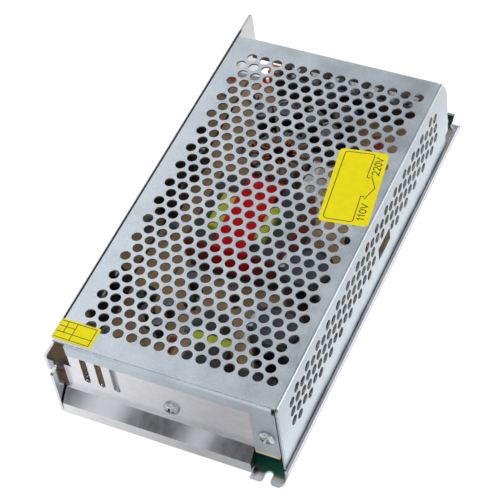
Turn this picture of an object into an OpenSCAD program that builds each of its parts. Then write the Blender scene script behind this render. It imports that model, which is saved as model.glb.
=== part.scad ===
// Enclosed switching power supply: bent aluminium chassis, perforated steel
// cover, circuit board with its parts, screw terminals and a voltage selector.
// Units are millimetres. X runs across the case, Y away from the stepped end
// wall towards the terminals, Z up. Origin: centre of the underside.

/* [Case] */
// Overall width across the case and its low lip
case_width = 99.6; // [90:0.1:112]
// Overall length of the chassis with its corner ear
case_length = 201.7; // [190:0.1:214]
// Overall height to the top of the cover sheet
case_height = 42; // [38:0.5:50]
// Thickness of the bent aluminium sheet
chassis_sheet = 1.2; // [1:0.1:2]
// Thickness of the steel cover sheet
cover_sheet = 0.8; // [0.6:0.1:1.2]
// How far the low lip stands outside the cover's side sheet
lip_out = 1.6; // [1.2:0.1:3]
// How far the corner ear reaches past the foot of the end wall
ear_reach = 2.7; // [0:0.1:4]
// Depth of the open terminal bay behind the cover
terminal_bay = 14.3; // [12:0.1:30]
// Outer radius of the cover bends
bend_radius = 1.2; // [0.9:0.1:2]

/* [Perforation] */
// Diameter of each round hole
hole_diameter = 4.5; // [3:0.1:5]
// Distance between neighbouring hole centres
hole_pitch = 6; // [5:0.1:8]
// Plain margin ahead of the first row of holes
hole_margin = 12.7; // [8:0.1:20]

/* [End wall] */
// Height of the foot face below the slope
foot_height = 6.2; // [4:0.1:10]
// Height where the slope meets the upright wall
knee_height = 11; // [9:0.1:16]
// How far the upright wall stands back from the foot
wall_setback = 5.3; // [3:0.1:8]
// Width of one cooling slot
slot_width = 3; // [2:0.1:4]
// Distance between the cooling slots
slot_spacing = 6.65; // [5:0.05:8]

/* [Board] */
// Height of the top face of the board
board_top = 10; // [8:0.1:14]
// Thickness of the board
board_sheet = 1.6; // [1:0.1:2]

/* [Terminals] */
// Number of screw terminals
terminal_count = 7; // [3:1:7]
// Distance between terminal screws
terminal_pitch = 9.5; // [8:0.1:10]

/* [Selector] */
// Travel of the voltage selector slider
selector_travel = 4.6; // [3:0.1:5]

/* [Hidden] */
$fn = 48;
half_w = case_width / 2;
half_l = case_length / 2;
ct = chassis_sheet;
st = cover_sheet;
inner_left = -half_w + ct;
cover_right = half_w - lip_out;
inner_right = cover_right - st;
foot_front = -half_l + ear_reach;
wall_front = foot_front + wall_setback;
wall_back = wall_front + ct;
lid_low = case_height - st;
clear = 0.3;

// board outline and the stations of the parts along and across it
board_low = board_top - board_sheet;
board_edge_gap = 1.5;
board_side_gap = 0.5;
board_left = inner_left + board_side_gap;
station_left = inner_left + board_edge_gap;
board_right = inner_right - 1;
board_front = wall_back + 0.6;
board_back = half_l - board_edge_gap;
board_step_x = station_left + 8.3;
board_step_y = board_back - 8;
board_notch = 4;
board_tongue = wall_front - 0.7;
function along(share) = board_front + share * (board_back - board_front);
function across(share) = station_left + share * (board_right - station_left);

// cover
cover_front = wall_front - st;
cover_back = half_l - terminal_bay;
cover_left = inner_left + clear;
row_step = hole_pitch * sqrt(3) / 2;
first_row_y = cover_front + hole_margin;
hole_rows = floor((cover_back - 9.4 - first_row_y) / row_step) + 1;
even_row_x = cover_left + 8.4;
odd_row_x = even_row_x + hole_pitch / 2;
holes_across = floor((cover_right - 5.4 - even_row_x) / hole_pitch) + 1;
hole_edge = hole_diameter / 2 + 0.5;
side_mid_z = case_height - 16.4;
side_back = cover_back + 3.3;
side_lip_high = 2.8;
side_bottom = ct + 0.8;
lip_bottom = case_height - 6.4;
lip_left = -half_w + 7;
lip_right = cover_right - bend_radius - 1.2;
flap_left = cover_right - 12.1;
flap_right = inner_right - clear;

// end wall and side wall
wall_top = case_height - 4;
wall_left = inner_left + 2.5;
wall_notch = 3;
wall_right = inner_right - 0.6;
foot_left = inner_left + 0.6;
foot_right = flap_left - 0.6;
slot_first_x = -half_w + 13.4;
slot_low = knee_height + 8.2;
slot_high = wall_top - 3;
wall_screw_x = 0.9;
wall_screw_z = board_top + 10.2;
wall_screw_r = 1.4;
flap_screw_x = (flap_left + flap_right) / 2 + 0.8;
flap_screw_z = board_top + 12.4;
flap_screw_r = 1.25;
side_wall_top = case_height - 0.4;
side_wall_step = case_height - 3.4;
side_slot_z = 27.1;
side_slot_wide = 2.6;
ear_slot_wide = 3.4;
ear_slot_long = 5.3;
ear_slot_x = cover_right - 5.6;
ear_right = cover_right - 0.7;
ear_relief = 0.3;
ear_wide = 10.3;
ear_high = 8.2;

// spacers
spacer_r = 2.8;
spacer_bore = 1.25;
spacer_front = wall_back + 8;
spacer_back = board_back - 20;
spacer_left = station_left + 5.3;
spacer_right = board_right - 4.7;

// selector and its window
sel_knob = 4.6;
sel_pocket = sel_knob + selector_travel + 0.4;
window_y = 13.7;
window_length = sel_pocket + 3.1;
window_low = board_top + 3.9;
window_high = board_top + 11;
sel_x = inner_right - 5.9;
sel_y = window_y + 0.15;
sel_z = board_top + 7;
sel_deep = 8.4;
sel_long = sel_pocket + 4.2;
sel_high = 11.4;

// terminals
term_x = 1.65;
term_wall = 1.5;
term_width = terminal_count * terminal_pitch + term_wall;
term_back = half_l - 0.8;
term_front = term_back - 16.7;
term_rear_wall = 2.4;
term_screw_y = term_back - 6.2;
term_floor = board_top + 4;
term_top = term_floor + 9;
board_notch_x = term_x + term_width / 2 + 0.6;
plate_thick = 1;
plate_half = (terminal_pitch - term_wall) / 2 - clear;
far_lip_bottom = term_top + 7;
trim_wide = 5.8;
trim_deep = 4.8;
trim_high = 8;
trim_x = term_x - term_width / 2 - 0.75 - trim_wide / 2;
trim_y = half_l - 5.2;
trim_z = board_top + 4;
rotor_r = 2;
led_r = 1.5;
led_high = 3.9;
led_x = trim_x - 5;
led_y = trim_y - 6.6;

// bulk, output and small capacitors
bulk_r = 11;
bulk_x = board_right - 16.2;
bulk_near_y = along(0.1938);
bulk_far_y = along(0.3582);
bulk_h = lid_low - 3.6 - board_top;
output_r = 4.9;
output_h = 17.6;
small_r = 3.15;
small_h = 11;

// magnetics
xf_wide = 41;
xf_deep = 38.5;
xf_low = board_top + 5;
xf_high = xf_low + 18;
xf_floor = 3;
band_thick = 0.6;
band_low = xf_low + 5;
band_high = xf_high - 0.4;
xf_x = bulk_x - bulk_r - 2.8 - band_thick - xf_wide / 2;
xf_y = along(0.4651);
base_wide = 34;
wind_wide = 26.3;
wind_deep = 20;
wind_x = xf_x - 1.2;
wind_y = xf_y - 1.95;
wind_high = xf_high + 3;
strap_x = xf_x;
strap_wide = 15.5;
strap_thick = 0.5;
strap_low = band_low - 1;
strap_reach = xf_deep / 2 + band_thick;
strap_lap = wind_deep / 2 + 0.05;
output_row_y = along(0.8088);
toroid_r = 12.8;
toroid_bore = 6;
toroid_high = 11;
toroid_x = across(0.386);
toroid_y = output_row_y - 20.6;
toroid_low = board_top + 2;
wire = 1.3;
turns = 20;
choke_wide = 17.6;
choke_deep = 15;
choke_x = across(0.57);
choke_y = along(0.1208);
choke_base = 2;
choke_high = board_top + 19.6;
tape_thick = 0.4;
driver_wide = 12.4;
driver_deep = 12.2;
driver_high = 11;
driver_x = across(0.4866);
driver_y = along(0.2159);

// power semiconductors
rect_wide = 15.4;
rect_thick = 4.8;
rect_y1 = along(0.524);
rect_y2 = rect_y1 + rect_wide + 6.2;
rect_low = board_top + 2.5;
rect_high = rect_low + 20.5;
rect_screw_z = rect_low + 14.5;
rect_lead = 5.2;
switch_wide = 10;
switch_y1 = along(0.249);
switch_y2 = along(0.186);
switch_low = board_top + 4.4;
switch_body = switch_low + 9;
switch_high = switch_low + 15.4;
switch_thick = 4.4;
switch_tab = 1.3;
switch_lead = 2.54;
switch_screw_z = switch_low + 12.1;
tap_r = 1.3;
pad_gap = 0.2;
screw_pass = 1.7;
bridge_wide = 22;
bridge_low = board_top + 3.4;
bridge_high = bridge_low + 17.6;
bridge_thick = 3.6;
plate_low = board_top + 2;
plate_high = plate_low + 22;
plate_gauge = 1;

// labels
label_wide = 21;
label_long = 40.2;
label_x = cover_right - 14.4;
label_y = window_y + 5.75;
label_turn = 8.6;
label_corner = 2;
label_sheet = 0.12;
date_wide = 17.1;
date_long = 9.9;
date_x = -half_w + 0.7;
date_y = cover_front + 2.3;

// ---- shared shapes -------------------------------------------------------

// A box given by its low corner and high corner
module box_between(a, b) {
  translate(a)
    cube([b[0] - a[0], b[1] - a[1], b[2] - a[2]]);
}

// A quarter of a bent sheet edge, drawn in the plane and pushed along
module bend_strip(length, sheet) {
  linear_extrude(length)
    intersection() {
      difference() {
        circle(r = bend_radius);
        circle(r = bend_radius - sheet);
      }
      square(bend_radius + 1);
    }
}

// Open U slot outline pointing along +X of the plane, with a flared mouth
module open_slot(width, depth, flare) {
  translate([0, -width / 2])
    square([depth - width / 2, width]);
  translate([depth - width / 2, 0])
    circle(d = width);
  polygon([[-1, -width / 2 - flare - 1], [flare, -width / 2],
    [flare, width / 2], [-1, width / 2 + flare + 1]]);
}

// Pan-head machine screw along +Z: head on top of z = 0, shank below
module pan_screw(head_r, head_h, shank_r, shank_l) {
  difference() {
    union() {
      rotate_extrude()
        intersection() {
          translate([0, head_h - head_r * 1.25])
            circle(r = head_r * 1.25);
          square([head_r, head_h]);
        }
      translate([0, 0, -shank_l])
        cylinder(h = shank_l + 0.2, r = shank_r);
    }
    translate([-head_r * 0.55, -0.35, head_h * 0.42])
      cube([head_r * 1.1, 0.7, head_h]);
    translate([-0.35, -head_r * 0.55, head_h * 0.42])
      cube([0.7, head_r * 1.1, head_h]);
  }
}

// Body of an upright can capacitor with the sleeve rolled over its rim
module can_sleeve(r, h, rim) {
  rotate_extrude()
    polygon([[0, 0], [r - 0.5, 0], [r, 0.5], [r, 1.6], [r - 0.45, 2.2],
      [r - 0.45, 2.9], [r, 3.5], [r, h - 0.5], [r - 0.5, h],
      [r - rim, h], [r - rim, h - 0.5], [0, h - 0.5]]);
}

// Bare metal end of a can capacitor with its pressure vent
module can_top(r, vent) {
  difference() {
    cylinder(h = 0.35, r = r);
    translate([-vent / 2, -0.2, 0.2])
      cube([vent, 0.4, 0.4]);
    translate([-0.2, -vent / 2, 0.2])
      cube([0.4, vent, 0.4]);
  }
}

// ---- case ----------------------------------------------------------------

// Stepped end wall in profile: foot, slope, upright
module end_profile() {
  polygon([[foot_front, 0], [foot_front, foot_height],
    [wall_front, knee_height], [wall_front, wall_top],
    [wall_front + ct, wall_top], [wall_front + ct, knee_height - ct * 0.45],
    [foot_front + ct, foot_height - ct * 0.45], [foot_front + ct, 0]]);
}

module chassis() color("silver") {
  // floor with the open mounting slot in its corner ear
  difference() {
    linear_extrude(ct)
      difference() {
        union() {
          translate([-half_w, foot_front])
            square([case_width, half_l - foot_front]);
          translate([foot_right, -half_l])
            square([half_w - foot_right, ear_reach + 1]);
        }
        translate([ear_slot_x, -half_l])
          rotate(90)
            open_slot(ear_slot_wide, ear_slot_long, 0.9);
        translate([foot_right - 1, -half_l - 1])
          square([ear_relief + 1, ear_reach + 1]);
        translate([foot_right, foot_front - 1])
          square([ear_relief, 3.4]);
        translate([-half_w + ct, foot_front - 1])
          square([foot_left + half_w - ct, 3]);
        translate([spacer_left, spacer_front])
          circle(r = spacer_bore);
        translate([spacer_right, spacer_front])
          circle(r = spacer_bore);
        translate([spacer_left, spacer_back])
          circle(r = spacer_bore);
        translate([spacer_right, spacer_back])
          circle(r = spacer_bore);
      }
    translate([half_w, -half_l, -1])
      rotate([0, 0, 45])
        cube([2.2, 2.2, 6], center = true);
  }
  // long side wall with the open slot at its near edge
  difference() {
    translate([-half_w, 0, 0])
      rotate([90, 0, 90])
        linear_extrude(ct)
          difference() {
            polygon([[foot_front, 0], [foot_front, side_wall_step],
              [cover_front + 3, side_wall_step],
              [cover_front + 3, side_wall_top],
              [half_l - 0.6, side_wall_top], [half_l, side_wall_top - 0.6],
              [half_l, 0]]);
            translate([foot_front, side_slot_z])
              open_slot(side_slot_wide, 4, 0.8);
          }
    translate([-half_w - 1, rect_y1, rect_screw_z])
      rotate([0, 90, 0])
        cylinder(h = ct + 2, r = tap_r);
    translate([-half_w - 1, rect_y2, rect_screw_z])
      rotate([0, 90, 0])
        cylinder(h = ct + 2, r = tap_r);
    translate([-half_w - 1, switch_y1, switch_screw_z])
      rotate([0, 90, 0])
        cylinder(h = ct + 2, r = tap_r);
    translate([-half_w - 1, switch_y2, switch_screw_z])
      rotate([0, 90, 0])
        cylinder(h = ct + 2, r = tap_r);
  }
  // stepped end wall; foot and slope are shorter than the upright
  difference() {
    union() {
      translate([foot_left, 0, 0])
        rotate([90, 0, 90])
          linear_extrude(foot_right - foot_left)
            end_profile();
      box_between([foot_right - 1, wall_front, board_top + 0.6],
        [wall_right, wall_back, wall_top]);
    }
    translate([foot_left - 1, wall_front - 1, knee_height + 1.2])
      cube([wall_left - foot_left + 1, 4, 40]);
    translate([wall_left - 0.2, wall_front - 1, side_slot_z])
      cube([wall_notch + 0.7, 4, 0.8]);
    translate([wall_left - 0.2, wall_front - 1, side_slot_z + 0.6])
      cube([wall_notch + 0.2, 4, wall_top]);
    for (i = [0:2])
      translate([slot_first_x + i * slot_spacing, wall_back + 1, 0])
        rotate([90, 0, 0])
          linear_extrude(ct + 2) {
            translate([-slot_width / 2, slot_low + slot_width / 2])
              square([slot_width, slot_high - slot_low - slot_width]);
            translate([0, slot_low + slot_width / 2])
              circle(d = slot_width);
            translate([0, slot_high - slot_width / 2])
              circle(d = slot_width);
          }
    translate([wall_screw_x, wall_back + 1, wall_screw_z])
      rotate([90, 0, 0])
        cylinder(h = ct + 2, r = wall_screw_r + clear);
    translate([flap_screw_x, wall_back + 1, flap_screw_z])
      rotate([90, 0, 0])
        cylinder(h = ct + 2, r = flap_screw_r + 0.05);
  }
  // low lip along the other side, outside the cover
  box_between([half_w - ct, foot_front + 3.4, 0],
    [half_w, half_l - 1.6, side_lip_high]);
  // short upright ear at the far corner, slanting in at its foot
  translate([0, half_l, 0])
    rotate([90, 0, 0])
      linear_extrude(ct)
        polygon([[ear_right - ear_wide, 0], [ear_right - ear_wide, ear_high],
          [ear_right, ear_high], [ear_right - 1.1, 2.9],
          [ear_right - 1.9, 1.4], [ear_right - 1.9, 0]]);
}

// Height of one hole of the side sheet, and whether it misses the window
function side_row_z(r, j) = side_mid_z
  + (r % 2 == 0 ? j - 1 : j - 1.5) * hole_pitch;
function clear_of_window(y, z) = z > window_high + hole_edge
  || abs(y - window_y) > window_length / 2 + hole_edge;

module mesh_cover() color("lightsteelblue") {
  // perforated top sheet
  translate([0, 0, lid_low])
    linear_extrude(st)
      difference() {
        translate([cover_left, cover_front + bend_radius])
          square([cover_right - bend_radius - cover_left,
            cover_back - cover_front - 2 * bend_radius]);
        for (r = [0:hole_rows - 1])
          for (i = [0:holes_across - 1])
            translate([(r % 2 == 0 ? odd_row_x : even_row_x) + i * hole_pitch,
              first_row_y + r * row_step])
              circle(d = hole_diameter);
      }
  // perforated side sheet with the selector window
  translate([inner_right, 0, 0])
    rotate([90, 0, 90])
      linear_extrude(st)
        difference() {
          polygon([[cover_front + 0.3, side_bottom],
            [side_back - 3.4, side_bottom], [side_back - 3.4, 8.8],
            [side_back, 9.6], [side_back, case_height - 10],
            [side_back - 1.6, case_height - 4.4],
            [cover_back, case_height - 2.2],
            [cover_back - 0.4, case_height - bend_radius],
            [cover_front + 0.3, case_height - bend_radius]]);
          for (r = [0:hole_rows - 1])
            for (j = [0:(r % 2 == 0 ? 2 : 3)])
              if (clear_of_window(first_row_y + r * row_step, side_row_z(r, j)))
                translate([first_row_y + r * row_step, side_row_z(r, j)])
                  circle(d = hole_diameter);
          translate([window_y - window_length / 2, window_low])
            square([window_length, window_high - window_low]);
        }
  // bends along the side, the near edge and the far edge
  translate([cover_right - bend_radius, cover_back - 0.6,
    case_height - bend_radius])
    rotate([90, 0, 0])
      bend_strip(cover_back - cover_front - 2.4, st);
  translate([lip_right, cover_front + bend_radius,
    case_height - bend_radius])
    rotate([90, 0, -90])
      bend_strip(lip_right - lip_left, st);
  translate([lip_left, cover_back - bend_radius, case_height - bend_radius])
    rotate([90, 0, 90])
      bend_strip(lip_right - lip_left, st);
  // near lip and the deep flap that takes the screw
  difference() {
    union() {
      box_between([lip_left, cover_front, lip_bottom],
        [lip_right, cover_front + st, case_height - bend_radius]);
      box_between([flap_left, cover_front, board_top + 0.4],
        [flap_right, cover_front + st, lip_bottom + 3.6]);
    }
    translate([flap_screw_x, cover_front + st + 1, flap_screw_z])
      rotate([90, 0, 0])
        cylinder(h = st + 2, r = flap_screw_r + 0.55);
  }
  // far lip above the terminals
  box_between([lip_left, cover_back - st, far_lip_bottom],
    [lip_right, cover_back, case_height - bend_radius]);
}

module flap_screw() color("whitesmoke")
  translate([flap_screw_x, cover_front, flap_screw_z])
    rotate([90, 0, 0])
      pan_screw(3.5, 2.3, flap_screw_r, 4.2);

module wall_screw() color("whitesmoke")
  translate([wall_screw_x, wall_front, wall_screw_z])
    rotate([90, 0, 0])
      pan_screw(3.4, 2.2, wall_screw_r, 6.2);

module voltage_label() color("gold")
  translate([label_x, label_y, case_height])
    rotate(label_turn)
      linear_extrude(label_sheet)
        for (q = [0:1])
          union() {
            translate([-label_wide / 2 + label_corner * q,
              -label_long / 2 + label_corner * (1 - q)])
              square([label_wide - 2 * label_corner * q,
                label_long - 2 * label_corner * (1 - q)]);
            for (sx = [-1, 1])
              for (sy = [-1, 1])
                translate([sx * (label_wide / 2 - label_corner),
                  sy * (label_long / 2 - label_corner)])
                  circle(r = label_corner);
          }

module date_label() color("gold")
  box_between([date_x, date_y, case_height],
    [date_x + date_wide, date_y + date_long, case_height + label_sheet]);

// ---- board ---------------------------------------------------------------

module board() color("tan")
  translate([0, 0, board_low])
    linear_extrude(board_sheet)
      difference() {
        polygon([[board_left, board_front], [flap_left, board_front],
          [flap_left, board_tongue], [board_right, board_tongue],
          [board_right, board_back - board_notch],
          [board_notch_x, board_back - board_notch],
          [board_notch_x, board_back], [board_step_x, board_back],
          [board_step_x, board_step_y], [board_left, board_step_y]]);
        translate([spacer_left, spacer_front])
          circle(r = spacer_bore + 0.45);
        translate([spacer_right, spacer_front])
          circle(r = spacer_bore + 0.45);
        translate([spacer_left, spacer_back])
          circle(r = spacer_bore + 0.45);
        translate([spacer_right, spacer_back])
          circle(r = spacer_bore + 0.45);
      }

// One turned spacer between floor and board
module spacer(x, y) {
  translate([x, y, ct])
    difference() {
      cylinder(h = board_low - ct, r = spacer_r);
      translate([0, 0, -1])
        cylinder(h = board_low - ct + 2, r = spacer_bore);
    }
}

module board_spacers() color("goldenrod") {
  spacer(spacer_left, spacer_front);
  spacer(spacer_right, spacer_front);
  spacer(spacer_left, spacer_back);
  spacer(spacer_right, spacer_back);
}

module board_screws() color("whitesmoke") {
  for (x = [spacer_left, spacer_right])
    for (y = [spacer_front, spacer_back])
      translate([x, y, board_top])
        pan_screw(2.7, 1.8, spacer_bore - 0.05, 5);
}

// ---- terminals -----------------------------------------------------------

function term_at(i) = term_x + (i - (terminal_count - 1) / 2) * terminal_pitch;

module terminal_block() color("dimgray") {
  box_between([term_x - term_width / 2, term_front, board_top],
    [term_x + term_width / 2, term_back, term_floor]);
  box_between([term_x - term_width / 2, term_front, board_top],
    [term_x + term_width / 2, term_front + term_rear_wall, term_top]);
  for (i = [0:terminal_count])
    box_between([term_at(i - 0.5) - term_wall / 2, term_front + 2,
      board_top], [term_at(i - 0.5) + term_wall / 2, term_back - 0.4,
      term_top - 0.5]);
}

module terminal_plates() color("lightgray") {
  for (i = [0:terminal_count - 1])
    difference() {
      union() {
        box_between([term_at(i) - plate_half, term_front + term_rear_wall + 0.2, term_floor],
          [term_at(i) + plate_half, term_back - 0.8, term_floor + plate_thick]);
        box_between([term_at(i) - plate_half, term_front + term_rear_wall + 0.2, term_floor],
          [term_at(i) + plate_half, term_front + term_rear_wall + 0.2
            + plate_thick, term_floor + 4.5]);
      }
      translate([term_at(i), term_screw_y, term_floor - 1])
        cylinder(h = 4, r = 1.6);
    }
}

module terminal_screws() color("whitesmoke") {
  for (i = [0:terminal_count - 1])
    translate([term_at(i), term_screw_y, term_floor + plate_thick])
      difference() {
        union() {
          cylinder(h = 0.7, r = plate_half - 0.1);
          translate([0, 0, 0.7])
            rotate_extrude()
              intersection() {
                translate([0, -2.2])
                  circle(r = 4);
                square([2.9, 1.8]);
              }
          translate([0, 0, -plate_thick])
            cylinder(h = plate_thick + 0.5, r = 1.5);
        }
        translate([-3, -0.35, 1.4])
          cube([6, 0.7, 2]);
        translate([-0.35, -1.7, 1.4])
          cube([0.7, 3.4, 2]);
      }
}

module trimmer_body() color("orange")
  difference() {
    box_between([trim_x - trim_wide / 2, trim_y - trim_deep, board_top],
      [trim_x + trim_wide / 2, trim_y, board_top + trim_high]);
    translate([trim_x, trim_y + 1, trim_z])
      rotate([90, 0, 0])
        cylinder(h = 2.2, r = rotor_r + clear);
  }

module trimmer_rotor() color("white")
  translate([trim_x, trim_y + 0.6, trim_z])
    rotate([90, 0, 0])
      difference() {
        cylinder(h = 1.6, r = rotor_r);
        translate([-1.7, -0.3, -0.5])
          cube([3.4, 0.6, 1.1]);
        translate([-0.3, -1.7, -0.5])
          cube([0.6, 3.4, 1.1]);
      }

module status_led() color("red")
  translate([led_x, led_y, board_top]) {
    cylinder(h = 1, r = led_r + 0.4);
    rotate_extrude()
      union() {
        square([led_r, led_high]);
        intersection() {
          translate([0, led_high])
            circle(r = led_r);
          square([led_r, led_high + led_r + 1]);
        }
      }
  }

module selector_body() color("dimgray")
  difference() {
    box_between([sel_x - sel_deep, sel_y - sel_long / 2, board_top],
      [sel_x, sel_y + sel_long / 2, board_top + sel_high]);
    box_between([sel_x - 3.6, sel_y - sel_pocket / 2, sel_z - 2.4],
      [sel_x + 1, sel_y + sel_pocket / 2, sel_z + 2.4]);
  }

module selector_slider() color("red")
  difference() {
    box_between([sel_x - 3.6 + clear, sel_y - sel_pocket / 2 + 0.2,
      sel_z - 2.4 + clear],
      [sel_x + 1.6, sel_y - sel_pocket / 2 + 0.2 + sel_knob,
      sel_z + 2.4 - clear]);
    box_between([sel_x + 0.7, sel_y - sel_pocket / 2 + 2.1, sel_z - 3],
      [sel_x + 3, sel_y - sel_pocket / 2 + 2.9, sel_z + 3]);
  }

// ---- magnetics -----------------------------------------------------------

module transformer_core() color("dimgray")
  difference() {
    box_between([xf_x - xf_wide / 2, xf_y - xf_deep / 2, xf_low],
      [xf_x + xf_wide / 2, xf_y + xf_deep / 2, xf_high]);
    box_between([wind_x - wind_wide / 2 - 0.2, wind_y - wind_deep / 2 - 0.2,
      xf_low + xf_floor], [wind_x + wind_wide / 2 + 0.2,
      wind_y + wind_deep / 2 + 0.2, xf_high + 1]);
  }

module transformer_base() color("black") {
  box_between([xf_x - base_wide / 2, xf_y - base_wide / 2, board_top + 1],
    [xf_x + base_wide / 2, xf_y + base_wide / 2, xf_low]);
  for (sx = [-1, 1])
    for (i = [-3:3])
      translate([xf_x + sx * (base_wide / 2 - 1.6), xf_y + i * 4.6,
        board_top])
        cylinder(h = 1.2, r = 0.5);
}

module transformer_winding() color("yellowgreen")
  box_between([wind_x - wind_wide / 2, wind_y - wind_deep / 2,
    xf_low + xf_floor],
    [wind_x + wind_wide / 2, wind_y + wind_deep / 2, wind_high]);

module transformer_band() color("darkred")
  difference() {
    box_between([xf_x - xf_wide / 2 - band_thick,
      xf_y - xf_deep / 2 - band_thick, band_low],
      [xf_x + xf_wide / 2 + band_thick,
      xf_y + xf_deep / 2 + band_thick, band_high]);
    box_between([xf_x - xf_wide / 2, xf_y - xf_deep / 2, band_low - 1],
      [xf_x + xf_wide / 2, xf_y + xf_deep / 2, band_high + 1.4]);
  }

// Tape strap over the winding, down both ends of the core
module transformer_strap() color("red")
  translate([strap_x - strap_wide / 2, 0, 0])
    rotate([90, 0, 90])
      linear_extrude(strap_wide)
        polygon([[xf_y - strap_reach - strap_thick, strap_low],
          [xf_y - strap_reach - strap_thick, xf_high + 0.7],
          [wind_y - strap_lap - 0.1, wind_high + strap_thick],
          [wind_y + strap_lap + 0.1, wind_high + strap_thick],
          [xf_y + strap_reach + strap_thick, xf_high + 0.7],
          [xf_y + strap_reach + strap_thick, strap_low],
          [xf_y + strap_reach, strap_low],
          [xf_y + strap_reach, xf_high + 0.3],
          [wind_y + strap_lap, wind_high], [wind_y - strap_lap, wind_high],
          [xf_y - strap_reach, xf_high + 0.3],
          [xf_y - strap_reach, strap_low]]);

module toroid_core() color("teal")
  translate([toroid_x, toroid_y, toroid_low])
    difference() {
      cylinder(h = toroid_high, r = toroid_r);
      translate([0, 0, -1])
        cylinder(h = toroid_high + 2, r = toroid_bore);
    }

module toroid_winding() color("peru")
  translate([toroid_x, toroid_y, toroid_low])
    for (i = [0:turns - 1])
      rotate(i * 360 / turns)
        difference() {
          translate([toroid_bore - wire - 0.2, -wire / 2, -wire])
            cube([toroid_r - toroid_bore + 2 * wire + 0.3, wire,
              toroid_high + 2 * wire]);
          translate([toroid_bore - 0.1, -wire, 0])
            cube([toroid_r - toroid_bore + 0.1, 2 * wire, toroid_high]);
        }

module line_choke() color("dimgray") {
  box_between([choke_x - choke_wide / 2 + tape_thick,
    choke_y - choke_deep / 2, board_top + choke_base],
    [choke_x + choke_wide / 2 - tape_thick,
    choke_y + choke_deep / 2 - 0.5, choke_high - 2 * tape_thick]);
  box_between([choke_x - choke_wide / 2 - 0.6, choke_y - choke_deep / 2 - 0.6,
    board_top], [choke_x + choke_wide / 2 + 0.6,
    choke_y + choke_deep / 2 + 0.2, board_top + choke_base]);
}

module choke_tape() color("yellowgreen")
  difference() {
    box_between([choke_x - choke_wide / 2, choke_y + choke_deep / 2 - 5.1,
      board_top + choke_base], [choke_x + choke_wide / 2,
      choke_y + choke_deep / 2 - 0.8, choke_high]);
    box_between([choke_x - choke_wide / 2 + tape_thick, choke_y - choke_deep,
      board_top + choke_base - 1], [choke_x + choke_wide / 2 - tape_thick,
      choke_y + choke_deep, choke_high - 2 * tape_thick]);
  }

module driver_transformer() color("dimgray") {
  box_between([driver_x - driver_wide / 2 - 0.6,
    driver_y - driver_deep / 2 - 0.6, board_top],
    [driver_x + driver_wide / 2 + 0.6,
    driver_y + driver_deep / 2 + 0.6, board_top + 2]);
  box_between([driver_x - driver_wide / 2, driver_y - driver_deep / 2,
    board_top + 2], [driver_x + driver_wide / 2,
    driver_y + driver_deep / 2, board_top + driver_high]);
  box_between([driver_x - 2.8, driver_y - driver_deep / 2 - 0.6,
    board_top + 3.4], [driver_x + 2.8, driver_y + driver_deep / 2 + 0.6,
    board_top + driver_high + 0.6]);
}

// ---- capacitors ----------------------------------------------------------

out_a = [across(0.2214), along(0.791)];
out_b = [across(0.3283), along(0.813)];
out_c = [across(0.4695), output_row_y];
out_d = [across(0.565), along(0.78)];
out_e = [across(0.4781), along(0.8687)];
out_f = [across(0.59), along(0.838)];
outputs = [out_a, out_b, out_c, out_d, out_e, out_f];
sm_a = [across(0.2984), along(0.3141)];
sm_b = [across(0.4909), along(0.3172)];
sm_c = [across(0.1144), along(0.2332)];
sm_d = [across(0.2556), along(0.2363)];
sm_e = [across(0.2567), along(0.1817)];
sm_f = [across(0.1829), along(0.2038)];
sm_g = [across(0.3455), along(0.8634)];
smalls = [sm_a, sm_b, sm_c, sm_d, sm_e, sm_f, sm_g];

module bulk_sleeves() color("black") {
  for (y = [bulk_near_y, bulk_far_y])
    translate([bulk_x, y, board_top])
      can_sleeve(bulk_r, bulk_h, 2.2);
}

module bulk_tops() color("gray") {
  for (y = [bulk_near_y, bulk_far_y])
    translate([bulk_x, y, board_top + bulk_h - 0.5])
      can_top(bulk_r - 2.2, 11);
}

module output_sleeves() color("black") {
  for (c = outputs)
    translate([c[0], c[1], board_top])
      can_sleeve(output_r, output_h, 0.9);
}

module output_tops() color("silver") {
  for (c = outputs)
    translate([c[0], c[1], board_top + output_h - 0.5])
      can_top(output_r - 0.9, 5);
}

module small_sleeves() color("black") {
  for (c = smalls)
    translate([c[0], c[1], board_top])
      can_sleeve(small_r, small_h, 0.7);
}

module small_tops() color("silver") {
  for (c = smalls)
    translate([c[0], c[1], board_top + small_h - 0.5])
      can_top(small_r - 0.7, 3);
}

// Size of each boxed capacitor and its station on the board
line_cap = [16.2, 17.2, 15];
line_cap_at = [across(0.8), along(0.0704)];
film_cap = [6, 11.6, 10.6];
film_cap_at = [across(0.775), along(0.8046)];
chip_cap = [5.4, 3.8, 7];
chip_cap_a = [across(0.1209), along(0.2673)];
chip_cap_b = [across(0.3155), along(0.2747)];
snub_cap = [4.2, 17.8, 11.6];
snub_cap_at = [toroid_x + toroid_r + wire + 3.1, toroid_y - 7.1];
disc_r = 4.3;
disc_thick = 3;
disc_lift = 8;
disc_at = [across(0.5776), along(0.885)];

// One boxed part standing on the board, centred at its station
module box_part(at, size)
  box_between([at[0] - size[0] / 2, at[1] - size[1] / 2, board_top],
    [at[0] + size[0] / 2, at[1] + size[1] / 2, board_top + size[2]]);

module line_capacitor() color("dimgray")
  box_part(line_cap_at, line_cap);

module disc_capacitors() color("royalblue") {
  translate([disc_at[0], disc_at[1] + disc_thick / 2, board_top + disc_lift])
    rotate([90, 0, 0])
      cylinder(h = disc_thick, r = disc_r);
  box_between([disc_at[0] - 1, disc_at[1] - 1, board_top],
    [disc_at[0] + 1, disc_at[1] + 1, board_top + disc_lift - 2]);
}

module film_capacitors() color("firebrick") {
  box_part(film_cap_at, film_cap);
  box_part(chip_cap_a, chip_cap);
  box_part(chip_cap_b, chip_cap);
}

module snubber_capacitor() color("whitesmoke")
  box_part(snub_cap_at, snub_cap);

// ---- power semiconductors --------------------------------------------------

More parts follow.
